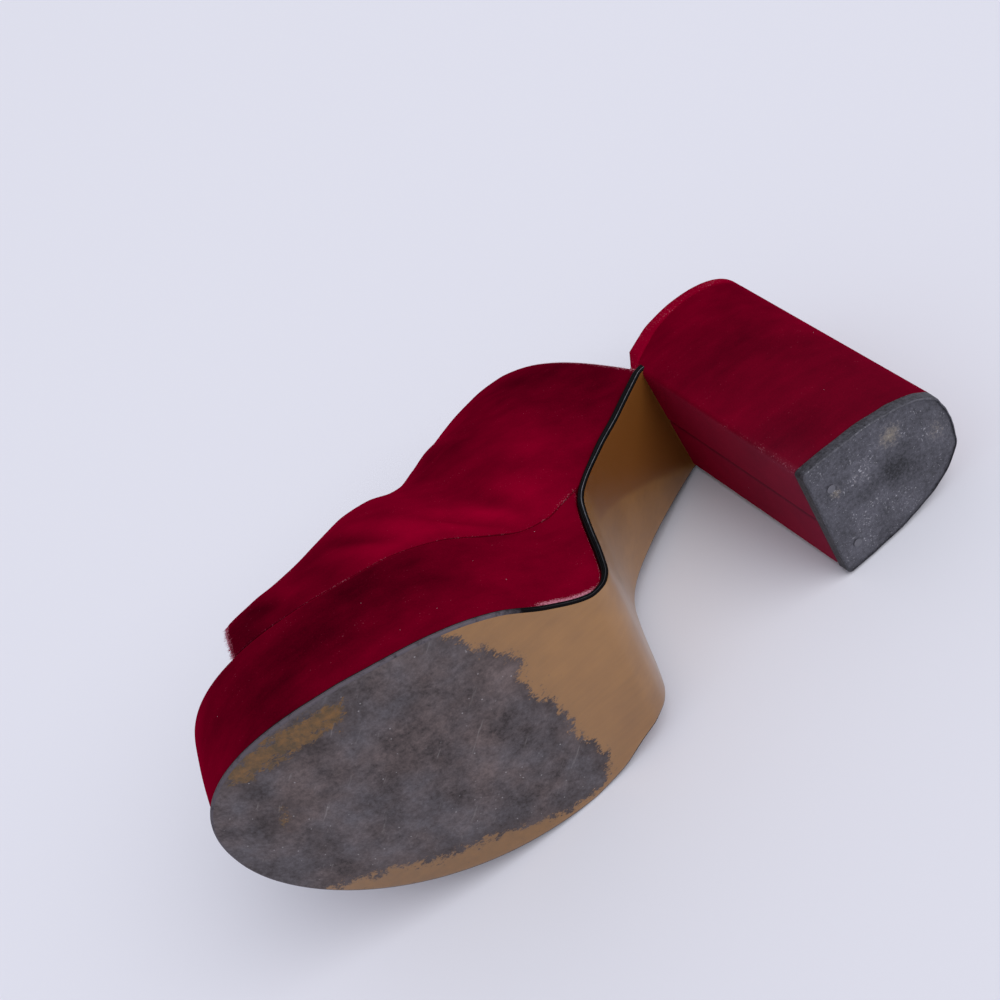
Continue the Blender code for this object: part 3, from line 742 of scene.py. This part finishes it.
# Sections from the back edge to the toe edge. Each stands on the feather line at x and leans to its top
# at (top_x, top_z). Ridge is how far the top lies to the inner side of the middle. The inner and the
# outer side each swell past the base by full, and have a shoulder as square as power.
VAMP = table(("x", "top_x", "top_z", "ridge", "inner_full", "outer_full", "inner_power", "outer_power"), [
    (5.2, 51.0, 149.5, 2.0, 7.0, 5.5, 2.75, 2.30),
    (20.0, 61.0, 146.0, 3.0, 10.5, 8.0, 2.80, 2.30),
    (34.5, 71.0, 139.0, 4.0, 12.5, 8.5, 2.80, 2.30),
    (50.0, 81.5, 129.5, 5.0, 11.5, 7.5, 2.80, 2.30),
    (68.0, 92.5, 118.0, 6.0, 8.5, 5.0, 2.80, 2.30),
    (86.0, 103.0, 107.0, 7.0, 5.0, 2.5, 2.75, 2.30),
    (104.0, 112.5, 96.0, 7.5, 1.5, 0.5, 2.70, 2.25),
    (122.0, 124.5, 84.8, 8.0, -0.5, 0.0, 2.70, 2.20),
    (140.0, 140.5, 75.5, 8.0, -1.0, 0.0, 2.70, 2.20),
    (159.5, 157.5, 70.2, 8.0, 0.0, 0.0, 2.75, 2.20)])

# Folds in the vamp, on the inner (1) or outer (-1) side: from one end to the other by station and
# height above the feather line, half width and depth of the trough. The crests beside it are softer.
CREASES = table(("side", "x0", "rise0", "x1", "rise1", "half", "depth"), [
    (1, 99.0, 5.0, 122.0, 25.0, 3.2, 0.75),
    (1, 71.0, 1.0, 99.0, 18.0, 2.8, 0.6),
    (1, 66.0, 3.0, 77.0, 27.0, 3.4, 0.55),
    (1, 52.0, 10.0, 60.0, 34.0, 4.5, 0.35),
    (1, 138.0, 6.0, 156.0, 16.0, 3.4, 0.45),
    (-1, 60.0, 4.0, 78.0, 28.0, 3.4, 0.7),
    (-1, 70.0, 3.0, 101.0, 16.0, 2.8, 0.7),
    (-1, 98.0, 3.0, 130.0, 18.0, 3.2, 0.6)])

# Places where the velvet is painted lighter or darker, as light and shade on the vamp's curve, by station
# and height above the feather line.
VAMP_PAINTED_LIGHT = table(("x", "rise", "length", "height", "tone"), [
    (82.0, 9.0, 22.0, 11.0, 0.26), (105.0, 4.0, 16.0, 8.0, 0.12), (137.0, 12.0, 8.0, 8.0, 0.16),
    (45.0, 14.0, 22.0, 16.0, 0.06), (152.0, 6.0, 12.0, 14.0, -0.16), (12.0, 24.0, 20.0, 45.0, -0.2)])


def vamp_surface(wall, x):
    """Points of one face of the vamp, with their heights above the feather line and their sides."""
    turn = np.linspace(0.0, 2 * np.pi, UPPER_ARC_POINTS)
    angles = ((turn - ARC_GATHER * np.sin(turn)) / 2)[None, :]
    row = {name: smooth(VAMP, name, x)[:, None] for name in VAMP if name != "x"}
    inner, outer = (edge[:, None] for edge in sole_outline(x, UPPER_INSET))
    base_z = (feather(x) + GAP)[:, None]
    reach_x, reach_z = row["top_x"] - x[:, None], row["top_z"] - base_z
    height = np.hypot(reach_x, reach_z)
    on_inner = angles < np.pi / 2
    power = np.where(on_inner, row["inner_power"], row["outer_power"])
    full = np.where(on_inner, row["inner_full"], -row["outer_full"])
    cosine = np.cos(angles)
    rise = np.sin(angles).clip(0.0) ** (2 / power)
    width = np.sign(cosine) * np.abs(cosine) ** (2 / power)
    side = (inner + outer) / 2 + row["ridge"] * rise ** 2 + width * ((inner - outer) / 2 - wall)
    side = side + full * 4 * rise * (1 - rise)
    up = rise * (height - wall)
    px = x[:, None] + up * reach_x / height
    points = np.stack([skewed(px, side), side, base_z + up * reach_z / height], axis=-1)
    return points, up, np.where(on_inner, 1.0, -1.0) * np.ones_like(up)


def fold_depth(x, up, side):
    """Depth of the folds at every point of the vamp, in mm: troughs positive, crests negative."""
    depth = np.zeros_like(up)
    for i in range(len(CREASES["side"])):
        ends = [CREASES[name][i] for name in ("x0", "rise0", "x1", "rise1")]
        away, share = line_distance(x[:, None] + 0 * up, up, *ends)
        half, deep = CREASES["half"][i], CREASES["depth"][i]
        fold = np.exp(-(away / half) ** 2) - 0.55 * np.exp(-((away - 2.1 * half) / (1.2 * half)) ** 2)
        fold = fold * fade(share, 0.0, 0.25) * fade(share, 1.0, 0.6)
        depth += np.where(side == CREASES["side"][i], deep * fold, 0.0)
    return depth


def surface_normals(points):
    """Unit normals of a grid of points, away from the middle of the vamp."""
    normals = np.cross(np.gradient(points, axis=1), np.gradient(points, axis=0))
    normals /= np.linalg.norm(normals, axis=-1, keepdims=True) + 1e-9
    middle = points.mean(axis=1, keepdims=True)
    facing = ((points - middle) * normals).sum(axis=-1).sum()
    return normals * np.sign(facing)


def lining_leather():
    """Thin glove leather lining: dull tan with a fine pebble."""
    material, tree, shader, place = new_material("lining_leather")
    pebbles = add(tree, "ShaderNodeTexVoronoi", [("Vector", place), ("Scale", per_mm(1.1))])
    emboss(tree, shader, pebbles.outputs["Distance"], 0.15)
    tree.links.new(mix(tree, grain(tree, place, 20.0), "#7b5b3d", "#a07d58"), shader.inputs["Base Color"])
    shader.inputs["Roughness"].default_value = 0.6
    return material


stations = np.linspace(VAMP["x"][0], VAMP["x"][-1], UPPER_STATIONS)
outer_face, up, side = vamp_surface(0.0, stations)
inner_face, _, _ = vamp_surface(UPPER_WALL, stations)
normals = surface_normals(outer_face)
folds = fold_depth(stations, up, side)
settle = fade(up, 0.0, 3.0)
shift = (uneven(outer_face, 17.0, 0.35) * settle - folds)[..., None] * normals
outer_face, inner_face = outer_face + shift, inner_face + shift
lip = np.radians(np.linspace(90.0, 0.0, UPPER_EDGE_RINGS + 1))[:-1]
sections, edge_lines = [], []
for end, beyond in ((0, 1), (-1, -2)):
    run = outer_face[end] - outer_face[beyond]
    run /= np.linalg.norm(run, axis=-1, keepdims=True)
    across = (inner_face[end] - outer_face[end]) / 2
    section = []
    for angle in lip:
        inwards = (1 - np.cos(angle)) * across
        onwards = np.sin(angle) * UPPER_WALL / 2 * run
        section.append((outer_face[end] + inwards + onwards, inner_face[end] - inwards + onwards))
    sections.append(section)
    edge_lines.append((outer_face[end] + 0.3 * across + 0.4 * UPPER_WALL * run, run))
faces = sections[0] + list(zip(outer_face, inner_face)) + sections[1][::-1]
rings = np.stack([np.concatenate([over, under[::-1]]) for over, under in faces])
pad = ((len(sections[0]), len(sections[1])), (0, 0))
crest = np.pad(-folds, pad, mode="edge")
height = np.pad(up, pad, mode="edge")
along = np.pad(stations, pad[0], mode="edge")[:, None]
# Painted light and shade: fold crests lighter and troughs darker, the low middle lighter, the shoulder and
# the toe darker.
nap_and_painted_light = painted_patches(VAMP_PAINTED_LIGHT, along, height) + 0.2 * np.clip(crest, -0.8, 0.8) - 0.08
nap_and_painted_light = nap_and_painted_light - 0.16 * fade(height, 28.0, 60.0) - 0.12 * fade(along, 112.0, 135.0)
cut_edge = np.zeros(len(rings))
cut_edge[:UPPER_EDGE_RINGS + 1] = cut_edge[-UPPER_EDGE_RINGS - 1:] = 1.0
rub = np.maximum(0.3 * cut_edge[:, None], 0.2 * fade(height, 0.8, 0.2) * fade(along, 48.0, 56.0))
columns = (np.arange(rings.shape[1]) >= UPPER_ARC_POINTS).astype(int)
columns[-1] = 0
upper = skin("vamp", rings, [velvet("cotton_velvet_vamp"), lining_leather()], columns,
             {"rub": np.concatenate([rub, 0 * rub], axis=1), "nap_and_painted_light": np.concatenate([nap_and_painted_light, 0 * nap_and_painted_light], axis=1)})
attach(upper, "root")
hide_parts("upper")

# Heel
# A tall block of turned wood or plastic with one piece of velvet wrapped round it. The two ends of the
# velvet meet in a seam down the middle of the flat breast.

TOP_PIECE_THICKNESS = 5.3
HEEL_GROUND_WIDTH = 45.8
HEEL_GROUND_LENGTH = 50.8
HEEL_CORNER = 2.5
HEEL_LEVELS = 40
HEEL_TURN_IN = 0.5
TURN_IN_SHARE = 0.012
HEEL_BACK_POINTS = 48
SEAM_STEPS = (0.12, 0.5, 1.1, 2.0)
SEAM_DEPTHS = (0.4, 0.18, 0.03, 0.0)
BREAST_POINTS = 8
CORNER_POINTS = 9

# The breast's corner, as a count of points from the seam, and how many on either side of it are rubbed.
CORNER_AT = 14.0
CORNER_HALF = 3.0


def d_outline(breast_x, middle_y, width, length, corner, seam=True):
    """Closed loop with a flat breast, round corners and a round back, from the seam round and back to it."""
    flat = np.linspace(SEAM_STEPS[-1], width / 2 - corner, BREAST_POINTS)
    steps = np.concatenate([SEAM_STEPS[:-1], flat])
    depths = np.concatenate([SEAM_DEPTHS[:-1], np.zeros(len(flat))]) * seam
    turn = np.radians(np.linspace(0.0, 90.0, CORNER_POINTS))[1:]
    angles = np.radians(np.linspace(0.0, 90.0, HEEL_BACK_POINTS + 1))[1:]
    sides = []
    for sign, power in ((1, HEEL_INNER_POWER), (-1, HEEL_OUTER_POWER)):
        back = corner / length + (1 - corner / length) * np.sin(angles) ** (2 / power)
        x = np.concatenate([
            breast_x - depths, breast_x - corner * (1 - np.cos(turn)), breast_x - length * back])
        half = np.concatenate([
            steps, width / 2 - corner * (1 - np.sin(turn)), width / 2 * round_end(back, power)])
        sides.append(np.stack([x, middle_y + sign * half], axis=1))
    return np.concatenate([sides[0], sides[1][::-1]])


rings = []
base_z = TOP_PIECE_THICKNESS + GAP
for share in (1 - np.cos(np.linspace(0.0, np.pi, HEEL_LEVELS))) / 2:
    inset = HEEL_TURN_IN * (1 - min(1.0, min(share, 1 - share) / TURN_IN_SHARE))
    width = HEEL_GROUND_WIDTH + share * (HEEL_SEAT_WIDTH - HEEL_GROUND_WIDTH) - 2 * inset
    length = HEEL_GROUND_LENGTH + share * (HEEL_SEAT_LENGTH - HEEL_GROUND_LENGTH) - 2 * inset
    loop = d_outline(share * BREAST_X - inset, share * HEEL_SEAT_Y, width, length, HEEL_CORNER)
    top = feather(np.minimum(loop[:, 0], BREAST_X - 1e-6))
    rings.append(np.column_stack([loop, base_z + share * (top - base_z)]))
rings = np.array(rings)
share = np.linspace(0.0, 1.0, HEEL_LEVELS)[:, None] * np.ones(rings.shape[:2])
steps = np.arange(rings.shape[1])
from_seam = np.minimum(steps, rings.shape[1] - 1 - steps)[None, :] * np.ones(rings.shape[:2])
corner_rub = np.exp(-((from_seam - CORNER_AT) / CORNER_HALF) ** 2)
breast = fade(from_seam, CORNER_AT, CORNER_AT - CORNER_HALF)
rub = 0.2 * corner_rub * fade(share, 0.7, 0.1) + 0.25 * fade(share, 0.02, 0.0) + 0.2 * fade(share, 0.985, 1.0)
haze = fade(share, 0.95, 0.1) * (0.008 + 0.11 * breast) + 0.06 * corner_rub * fade(share, 0.45, 0.05)
# The stored nap value on the heel: lighter on the breast and at its corners, darker along the seam.
nap_and_painted_light = 0.12 * corner_rub - 0.1 + 0.2 * breast - 0.3 * fade(from_seam, 2.0, 0.0)
heel = skin("heel_cover", rings, [velvet("cotton_velvet_heel")],
            fields={"rub": rub, "nap_and_painted_light": nap_and_painted_light, "haze": haze}, sharp=60.0)
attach(heel, "root")
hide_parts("heel")

# Top piece
# A slab of hard black rubber nailed and glued under the heel, trimmed by hand, and ground by walking: its
# face is grey with dust, gritty, and scuffed to sandy patches.

TOP_PIECE_ROUND = 0.5
TOP_PIECE_CORNER = 1.5
TOP_PIECE_LEVELS = (1.2, 2.2, 3.8)
TOP_PIECE_BEVEL = 0.3
TRIM_UNEVENNESS = 0.35
TRIM_REACH = 24.0
HEEL_FACE_WIDTH = 46.3
HEEL_FACE_LENGTH = 49.5
HEEL_FACE_Y = 1.1
FACE_RINGS = 16

# Places on the face: middle, half width, sand rubbed in, and dust that lightens or polish that darkens it.
SCUFFS = table(("x", "y", "half", "sand", "dust"), [
    (-7.0, 9.8, 2.0, 0.9, 0.25), (-29.5, 14.5, 4.0, 0.9, 0.25), (-17.0, 9.0, 4.5, 0.3, 0.4),
    (-20.0, -2.0, 4.0, 0.15, 0.35), (-12.0, -6.0, 4.0, 0.2, 0.25), (-27.0, 3.0, 6.0, 0.0, -0.4),
    (-33.0, -4.0, 6.0, 0.0, -0.25), (-17.0, 1.5, 4.0, 0.0, -0.3), (-44.0, 4.0, 5.0, 0.45, 0.15),
    (-8.0, -15.0, 7.0, 0.15, 0.15), (-26.0, -12.0, 6.0, 0.15, 0.2)])


def scuffed_rubber():
    """Hard rubber: blue-black inside, dusty grey and matt where ground, with grit and sand rubbed in."""
    material, tree, shader, place = new_material("hard_rubber")
    dust = grain(tree, place, 7.0, 6.0, 0.72)
    grit = grain(tree, place, 1.1, 4.0, 0.85)
    tone = scaled(tree, dust, 1.3, field(tree, "dust"))
    tone = scaled(tree, grit, 2.6, tone)
    colour = mix(tree, ramp(tree, tone, 1.35, 2.65), "#15151a", "#5b5a63")
    sandy = scaled(tree, grit, 2.2, field(tree, "sand"))
    colour = mix(tree, ramp(tree, sandy, 1.45, 2.3, 0.0, 0.85), colour, "#877c6b")
    flecks = scaled(tree, field(tree, "dust"), 0.2, grain(tree, place, 0.7, 2.0, 0.5))
    flecks = scaled(tree, grain(tree, place, 5.0, 2.0), 0.35, flecks)
    colour = mix(tree, ramp(tree, flecks, 0.86, 1.0, 0.0, 0.8), colour, "#a9a8ae")
    rough = scaled(tree, dust, 0.4, 0.4)
    emboss(tree, shader, grit, 0.3, 0.45)
    tree.links.new(colour, shader.inputs["Base Color"])
    tree.links.new(rough, shader.inputs["Roughness"])
    shader.inputs["Specular IOR Level"].default_value = 0.35
    return material


turn = np.radians(np.linspace(90.0, 0.0, 6))
levels = [(TOP_PIECE_ROUND * (1 - math.sin(a)), TOP_PIECE_ROUND * (1 - math.cos(a))) for a in turn[::-1]]
levels += [(height, 0.0) for height in (*TOP_PIECE_LEVELS, TOP_PIECE_THICKNESS - TOP_PIECE_BEVEL)]
levels.append((TOP_PIECE_THICKNESS, TOP_PIECE_BEVEL))
rings = []
for height, inset in levels:
    lean = 1 - height / TOP_PIECE_THICKNESS
    width = HEEL_GROUND_WIDTH + lean * (HEEL_FACE_WIDTH - HEEL_GROUND_WIDTH) - 2 * inset
    length = HEEL_GROUND_LENGTH + lean * (HEEL_FACE_LENGTH - HEEL_GROUND_LENGTH) - 2 * inset
    loop = d_outline(-inset, lean * HEEL_FACE_Y, width, length, TOP_PIECE_CORNER, seam=False)
    rings.append(np.column_stack([loop, np.full(len(loop), height)]))
middle = np.array([-HEEL_FACE_LENGTH / 2, HEEL_FACE_Y, 0.0])
face = [middle + (rings[0] - middle) * share for share in np.linspace(0.05, 0.95, FACE_RINGS)]
rings = np.array(face + rings)
rings[..., :2] *= 1 + uneven(rings * [1.0, 1.0, 0.3], 5.0, TRIM_UNEVENNESS / TRIM_REACH)[..., None]
sand, dust = np.zeros(rings.shape[:2]), np.zeros(rings.shape[:2])
for i in range(len(SCUFFS["x"])):
    away = np.hypot(rings[..., 0] - SCUFFS["x"][i], rings[..., 1] - SCUFFS["y"][i]) / SCUFFS["half"][i]
    on_face = np.exp(-away ** 2) * (rings[..., 2] < TOP_PIECE_ROUND)
    sand += SCUFFS["sand"][i] * on_face
    dust += SCUFFS["dust"][i] * on_face
# The face is lighter along its rounded edge, and the wall above it darker.
dust += 0.15 * fade(rings[..., 2], 0.0, 0.3) - 0.45 * fade(rings[..., 2], 0.5, 1.4)
top_piece = skin("top_piece_rubber", rings, [scuffed_rubber()], fields={"sand": sand, "dust": dust})
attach(top_piece, "root")
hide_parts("top_piece")

# Nails
# Steel nails that hold the top piece to the heel. Walking has ground their heads flush and dulled them.

NAIL_HEAD = 1.4 * MM
NAIL_PROUD = 0.02 * MM
NAILS = [(-6.7, -13.0, 0.0), (-6.3, 12.7, 0.0)]


def new_group(name, sizes):
    """Empty geometry node group with named inputs, and the nodes for what comes in and goes out."""
    group = bpy.data.node_groups.new(name, "GeometryNodeTree")
    group.interface.new_socket("Geometry", in_out="OUTPUT", socket_type="NodeSocketGeometry")
    kinds = {"Geometry": "Geometry", "Material": "Material", "Seed": "Int"}
    for size in ("Geometry", *sizes, "Material"):
        group.interface.new_socket(size, in_out="INPUT", socket_type="NodeSocket" + kinds.get(size, "Float"))
    return group, add(group, "NodeGroupInput").outputs, add(group, "NodeGroupOutput").inputs[0]


def realized(group, instances, given, result):
    """Close a group: real meshes instead of instances, in the given material."""
    plain = add(group, "GeometryNodeRealizeInstances", [("Geometry", instances)]).outputs[0]
    dressed = add(group, "GeometryNodeSetMaterial", [
        ("Geometry", plain), ("Material", given["Material"])]).outputs[0]
    group.links.new(dressed, result)


def grow(name, mesh, group, sizes, material):
    """Run a node group on a mesh and keep what it makes as a plain mesh piece."""
    piece = in_scene(name, mesh)
    modifier = piece.modifiers.new(group.name, "NODES")
    modifier.node_group = group
    wanted = {**sizes, "Material": material}
    for item in group.interface.items_tree:
        if item.in_out == "INPUT" and item.name in wanted:
            modifier[item.identifier] = wanted[item.name]
    made = bpy.data.meshes.new_from_object(piece.evaluated_get(bpy.context.evaluated_depsgraph_get()))
    piece.modifiers.clear()
    piece.data = made
    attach(piece, "root")


def ground_steel():
    """Ground nail head: dull dark steel under dust."""
    material, tree, shader, place = new_material("ground_steel")
    tree.links.new(mix(tree, grain(tree, place, 0.8), "#55545b", "#74737a"), shader.inputs["Base Color"])
    shader.inputs["Metallic"].default_value = 0.4
    shader.inputs["Roughness"].default_value = 0.6
    return material


nail_group, given, result = new_group("nail_heads", ("Head radius", "Proud"))
head = add(nail_group, "GeometryNodeMeshCylinder", [
    ("Vertices", 20), ("Radius", given["Head radius"]), ("Depth", given["Proud"])]).outputs["Mesh"]
level = Vector(SHOE_AXES[2]).to_track_quat("Z", "Y").to_euler()
heads = add(nail_group, "GeometryNodeInstanceOnPoints", [
    ("Points", given["Geometry"]), ("Instance", head), ("Rotation", level)]).outputs[0]
realized(nail_group, heads, given, result)
nail_points = bpy.data.meshes.new("nail_points")
nail_points.from_pydata(in_place(NAILS), [], [])
grow("nails", nail_points, nail_group, {"Head radius": NAIL_HEAD, "Proud": 2 * NAIL_PROUD}, ground_steel())

# Frayed nap
# Where the velvet is cut or turned, the pile and the pale ground cloth stick out as a fringe of short
# fibres: at the back and toe edges of the vamp, along its join with the platform and up the riser.

JOIN_FROM_X = 54.0
RISER_WAY = np.array([0.5, 1.0, -0.3])

# A knot of loose ends where the riser meets the waist.
KNOT = np.array([(50.2, 32.9, 49.6), (50.8, 33.5, 48.6), (51.4, 33.8, 47.4)])
KNOT_WAY = np.array([0.0, 1.0, 0.0])


def fibre_group():
    """Thin tapering fibres along the edges of a mesh, each pointing along the stored way, more or less."""
    group, given, result = new_group(
        "fibres_along_edge", ("Spacing", "Length", "Thickness", "Spread", "Seed"))
    line = add(group, "GeometryNodeMeshToCurve", [("Mesh", given["Geometry"])]).outputs[0]
    line = add(group, "GeometryNodeResampleCurve", [("Curve", line), ("Length", given["Spacing"])],
               mode="LENGTH").outputs[0]
    way = add(group, "GeometryNodeInputNamedAttribute", [("Name", "way")],
              data_type="FLOAT_VECTOR").outputs[0]
    stray = add(group, "FunctionNodeRandomValue", [
        ("Min", (-1.0, -1.0, -1.0)), ("Max", (1.0, 1.0, 1.0)), ("Seed", given["Seed"])],
        data_type="FLOAT_VECTOR").outputs[0]
    stray = add(group, "ShaderNodeVectorMath", [(0, stray), ("Scale", given["Spread"])],
                operation="SCALE").outputs[0]
    way = add(group, "ShaderNodeVectorMath", [(0, way), (1, stray)]).outputs[0]
    turn = add(group, "FunctionNodeAlignRotationToVector", [("Vector", way)], axis="Z").outputs[0]
    share = add(group, "FunctionNodeRandomValue", [(2, 0.25), (3, 1.0), ("Seed", given["Seed"])]).outputs[1]
    long = add(group, "ShaderNodeMath", [(0, share), (1, given["Length"])], operation="MULTIPLY").outputs[0]
    size = add(group, "ShaderNodeCombineXYZ", [
        ("X", given["Thickness"]), ("Y", given["Thickness"]), ("Z", long)]).outputs[0]
    fibre = add(group, "GeometryNodeMeshCone", [("Vertices", 3), ("Radius Bottom", 1.0), ("Depth", 1.0)],
                fill_type="NONE").outputs["Mesh"]
    fibres = add(group, "GeometryNodeInstanceOnPoints", [
        ("Points", line), ("Instance", fibre), ("Rotation", turn), ("Scale", size)]).outputs[0]
    realized(group, fibres, given, result)
    return group


def lines_mesh(name, lines):
    """Mesh of open lines. lines pairs points with the ways that fibres point there, in the shoe's frame."""
    points, ways, joins = [], [], []
    for line, way in lines:
        first = len(points)
        points.extend(in_place(line))
        ways.extend(np.broadcast_to(way, np.shape(line)) @ SHOE_AXES)
        joins.extend((i, i + 1) for i in range(first, len(points) - 1))
    mesh = bpy.data.meshes.new(name)
    mesh.from_pydata(points, joins, [])
    mesh.attributes.new("way", "FLOAT_VECTOR", "POINT").data.foreach_set("vector", np.ravel(ways))
    return mesh


def frayed_cotton(name, colour):
    """Loose cotton fibres: matt, paler than the pile, with no gloss."""
    material, _, shader, _ = new_material(name)
    shader.inputs["Base Color"].default_value = linear(colour)
    shader.inputs["Roughness"].default_value = 1.0
    shader.inputs["Specular IOR Level"].default_value = 0.0
    return material


def off_floor(line, way, least=5.0):
    """The part of a line that lies that many millimetres above the floor."""
    clear = in_place(line)[:, 2] > least * MM
    return line[clear], way[clear]


fibres = fibre_group()
ground_cloth = frayed_cotton("frayed_ground_cloth", "#d2aab4")
loose_pile = frayed_cotton("loose_pile", "#8c2c4a")
pressed_pile = frayed_cotton("pressed_pile", "#86304c")
throat, toe_cut = (off_floor(*line) for line in edge_lines)
on_platform = stations > JOIN_FROM_X
join = (outer_face[on_platform, 1], normals[on_platform, 1])
frays = [(riser_edge, RISER_WAY), (KNOT, KNOT_WAY)]

# Each fringe: spacing, length and thickness of its fibres in mm, how far they stray, and what they are.
fringes = (
    ("fringe_back", "back_edge", [throat], 0.3, 0.7, 0.06, 0.6, ground_cloth, "upper_velvet"),
    ("fringe_toe", "toe_edge", [toe_cut], 0.12, 1.7, 0.07, 0.5, loose_pile, "upper_velvet"),
    ("fringe_join", "join", [join], 0.7, 0.4, 0.04, 0.9, pressed_pile, "upper_velvet"),
    ("fringe_riser", "riser", frays, 0.5, 0.45, 0.05, 0.9, ground_cloth, "platform_velvet"))
for seed, (name, edge, lines, spacing, length, thickness, spread, cotton, slot) in enumerate(fringes, 1):
    grow(name, lines_mesh(edge, lines), fibres, {
        "Spacing": spacing * MM, "Length": length * MM, "Thickness": thickness * MM, "Spread": spread,
        "Seed": seed}, cotton)

# Lint
# Specks of pale dust and lint that cling to the pile.

LINT_SIZE = 0.26 * MM


def lint_group():
    """Small flat flecks scattered over the faces of a mesh."""
    group, given, result = new_group("lint_on_faces", ("Density", "Size", "Seed"))
    spread = add(group, "GeometryNodeDistributePointsOnFaces", [
        ("Mesh", given["Geometry"]), ("Density", given["Density"]), ("Seed", given["Seed"])])
    spin = add(group, "FunctionNodeRandomValue", [
        (2, 0.0), (3, math.tau), ("Seed", given["Seed"])]).outputs[1]
    spin = add(group, "ShaderNodeCombineXYZ", [("Z", spin)]).outputs[0]
    turn = add(group, "FunctionNodeRotateRotation", [
        ("Rotation", spread.outputs["Rotation"]), ("Rotate By", spin)], rotation_space="LOCAL").outputs[0]
    share = add(group, "FunctionNodeRandomValue", [(2, 0.3), (3, 1.0), ("Seed", given["Seed"])]).outputs[1]
    long = add(group, "ShaderNodeMath", [(0, share), (1, given["Size"])], operation="MULTIPLY").outputs[0]
    thin = add(group, "ShaderNodeMath", [(0, given["Size"]), (1, 0.3)], operation="MULTIPLY").outputs[0]
    size = add(group, "ShaderNodeCombineXYZ", [("X", long), ("Y", thin), ("Z", thin)]).outputs[0]
    fleck = add(group, "GeometryNodeMeshIcoSphere", [("Radius", 1.0), ("Subdivisions", 1)]).outputs["Mesh"]
    flecks = add(group, "GeometryNodeInstanceOnPoints", [
        ("Points", spread.outputs["Points"]), ("Instance", fleck), ("Rotation", turn),
        ("Scale", size)]).outputs[0]
    realized(group, flecks, given, result)
    return group


lint = lint_group()
dust_white = frayed_cotton("lint", "#b296a0")
for seed, (piece, slot, density) in enumerate((
        (platform, "platform_velvet", 1100.0), (upper, "upper_velvet", 300.0), (heel, "heel_velvet", 500.0))):
    grow("lint_" + piece.name, piece.data.copy(), lint, {"Density": density, "Size": LINT_SIZE, "Seed": seed},
         dust_white)

# Stage, light and camera
# A plain pale floor under soft light from all round, with the camera at the photo's angle to the shoe.

FLOOR_SIZE = 12.0
CAMERA_PLACE = (0.00044, 0.31482, 0.29521)
CAMERA_AIM = (-0.00368, -0.05129, 0.01673)
CAMERA_ROLL = math.radians(-40.625)
CAMERA_LENS = 42.9

floor_mesh = bpy.data.meshes.new("floor")
reach = FLOOR_SIZE / 2
corners = [(-reach, -reach, 0), (reach, -reach, 0), (reach, reach, 0), (-reach, reach, 0)]
floor_mesh.from_pydata(corners, [], [(0, 1, 2, 3)])
floor = in_scene("floor", floor_mesh)
floor_paint, _, floor_shader, _ = new_material("pale_floor")
floor_shader.inputs["Base Color"].default_value = linear("#dedee6")
floor_shader.inputs["Roughness"].default_value = 0.9
floor_mesh.materials.append(floor_paint)

world = bpy.data.worlds.new("soft_surround")
bpy.context.scene.world = world
world.use_nodes = True
surround = world.node_tree.nodes["Background"]
surround.inputs["Color"].default_value = linear("#f2f4ff")
surround.inputs["Strength"].default_value = 0.62

# One broad soft light, far off, from the heel's side and the front, so that the floor is lit evenly.
KEY_FROM = (-0.65, 0.8, 1.1)
KEY_STRENGTH = 1.95
KEY_SPREAD = math.radians(55.0)
key = bpy.data.lights.new("soft_key", "SUN")
key.energy = KEY_STRENGTH
key.angle = KEY_SPREAD
lamp = in_scene("soft_key", key)
lamp.rotation_euler = (-Vector(KEY_FROM)).to_track_quat("-Z", "Y").to_euler()

lens = bpy.data.cameras.new("camera")
lens.lens = CAMERA_LENS
camera = in_scene("camera", lens)
look = (Vector(CAMERA_AIM) - Vector(CAMERA_PLACE)).to_track_quat("-Z", "Y")
look = look @ Quaternion((0, 0, 1), CAMERA_ROLL)
camera.matrix_world = Matrix.LocRotScale(Vector(CAMERA_PLACE), look, None)
bpy.context.scene.camera = camera
bpy.context.scene.view_settings.view_transform = "Standard"
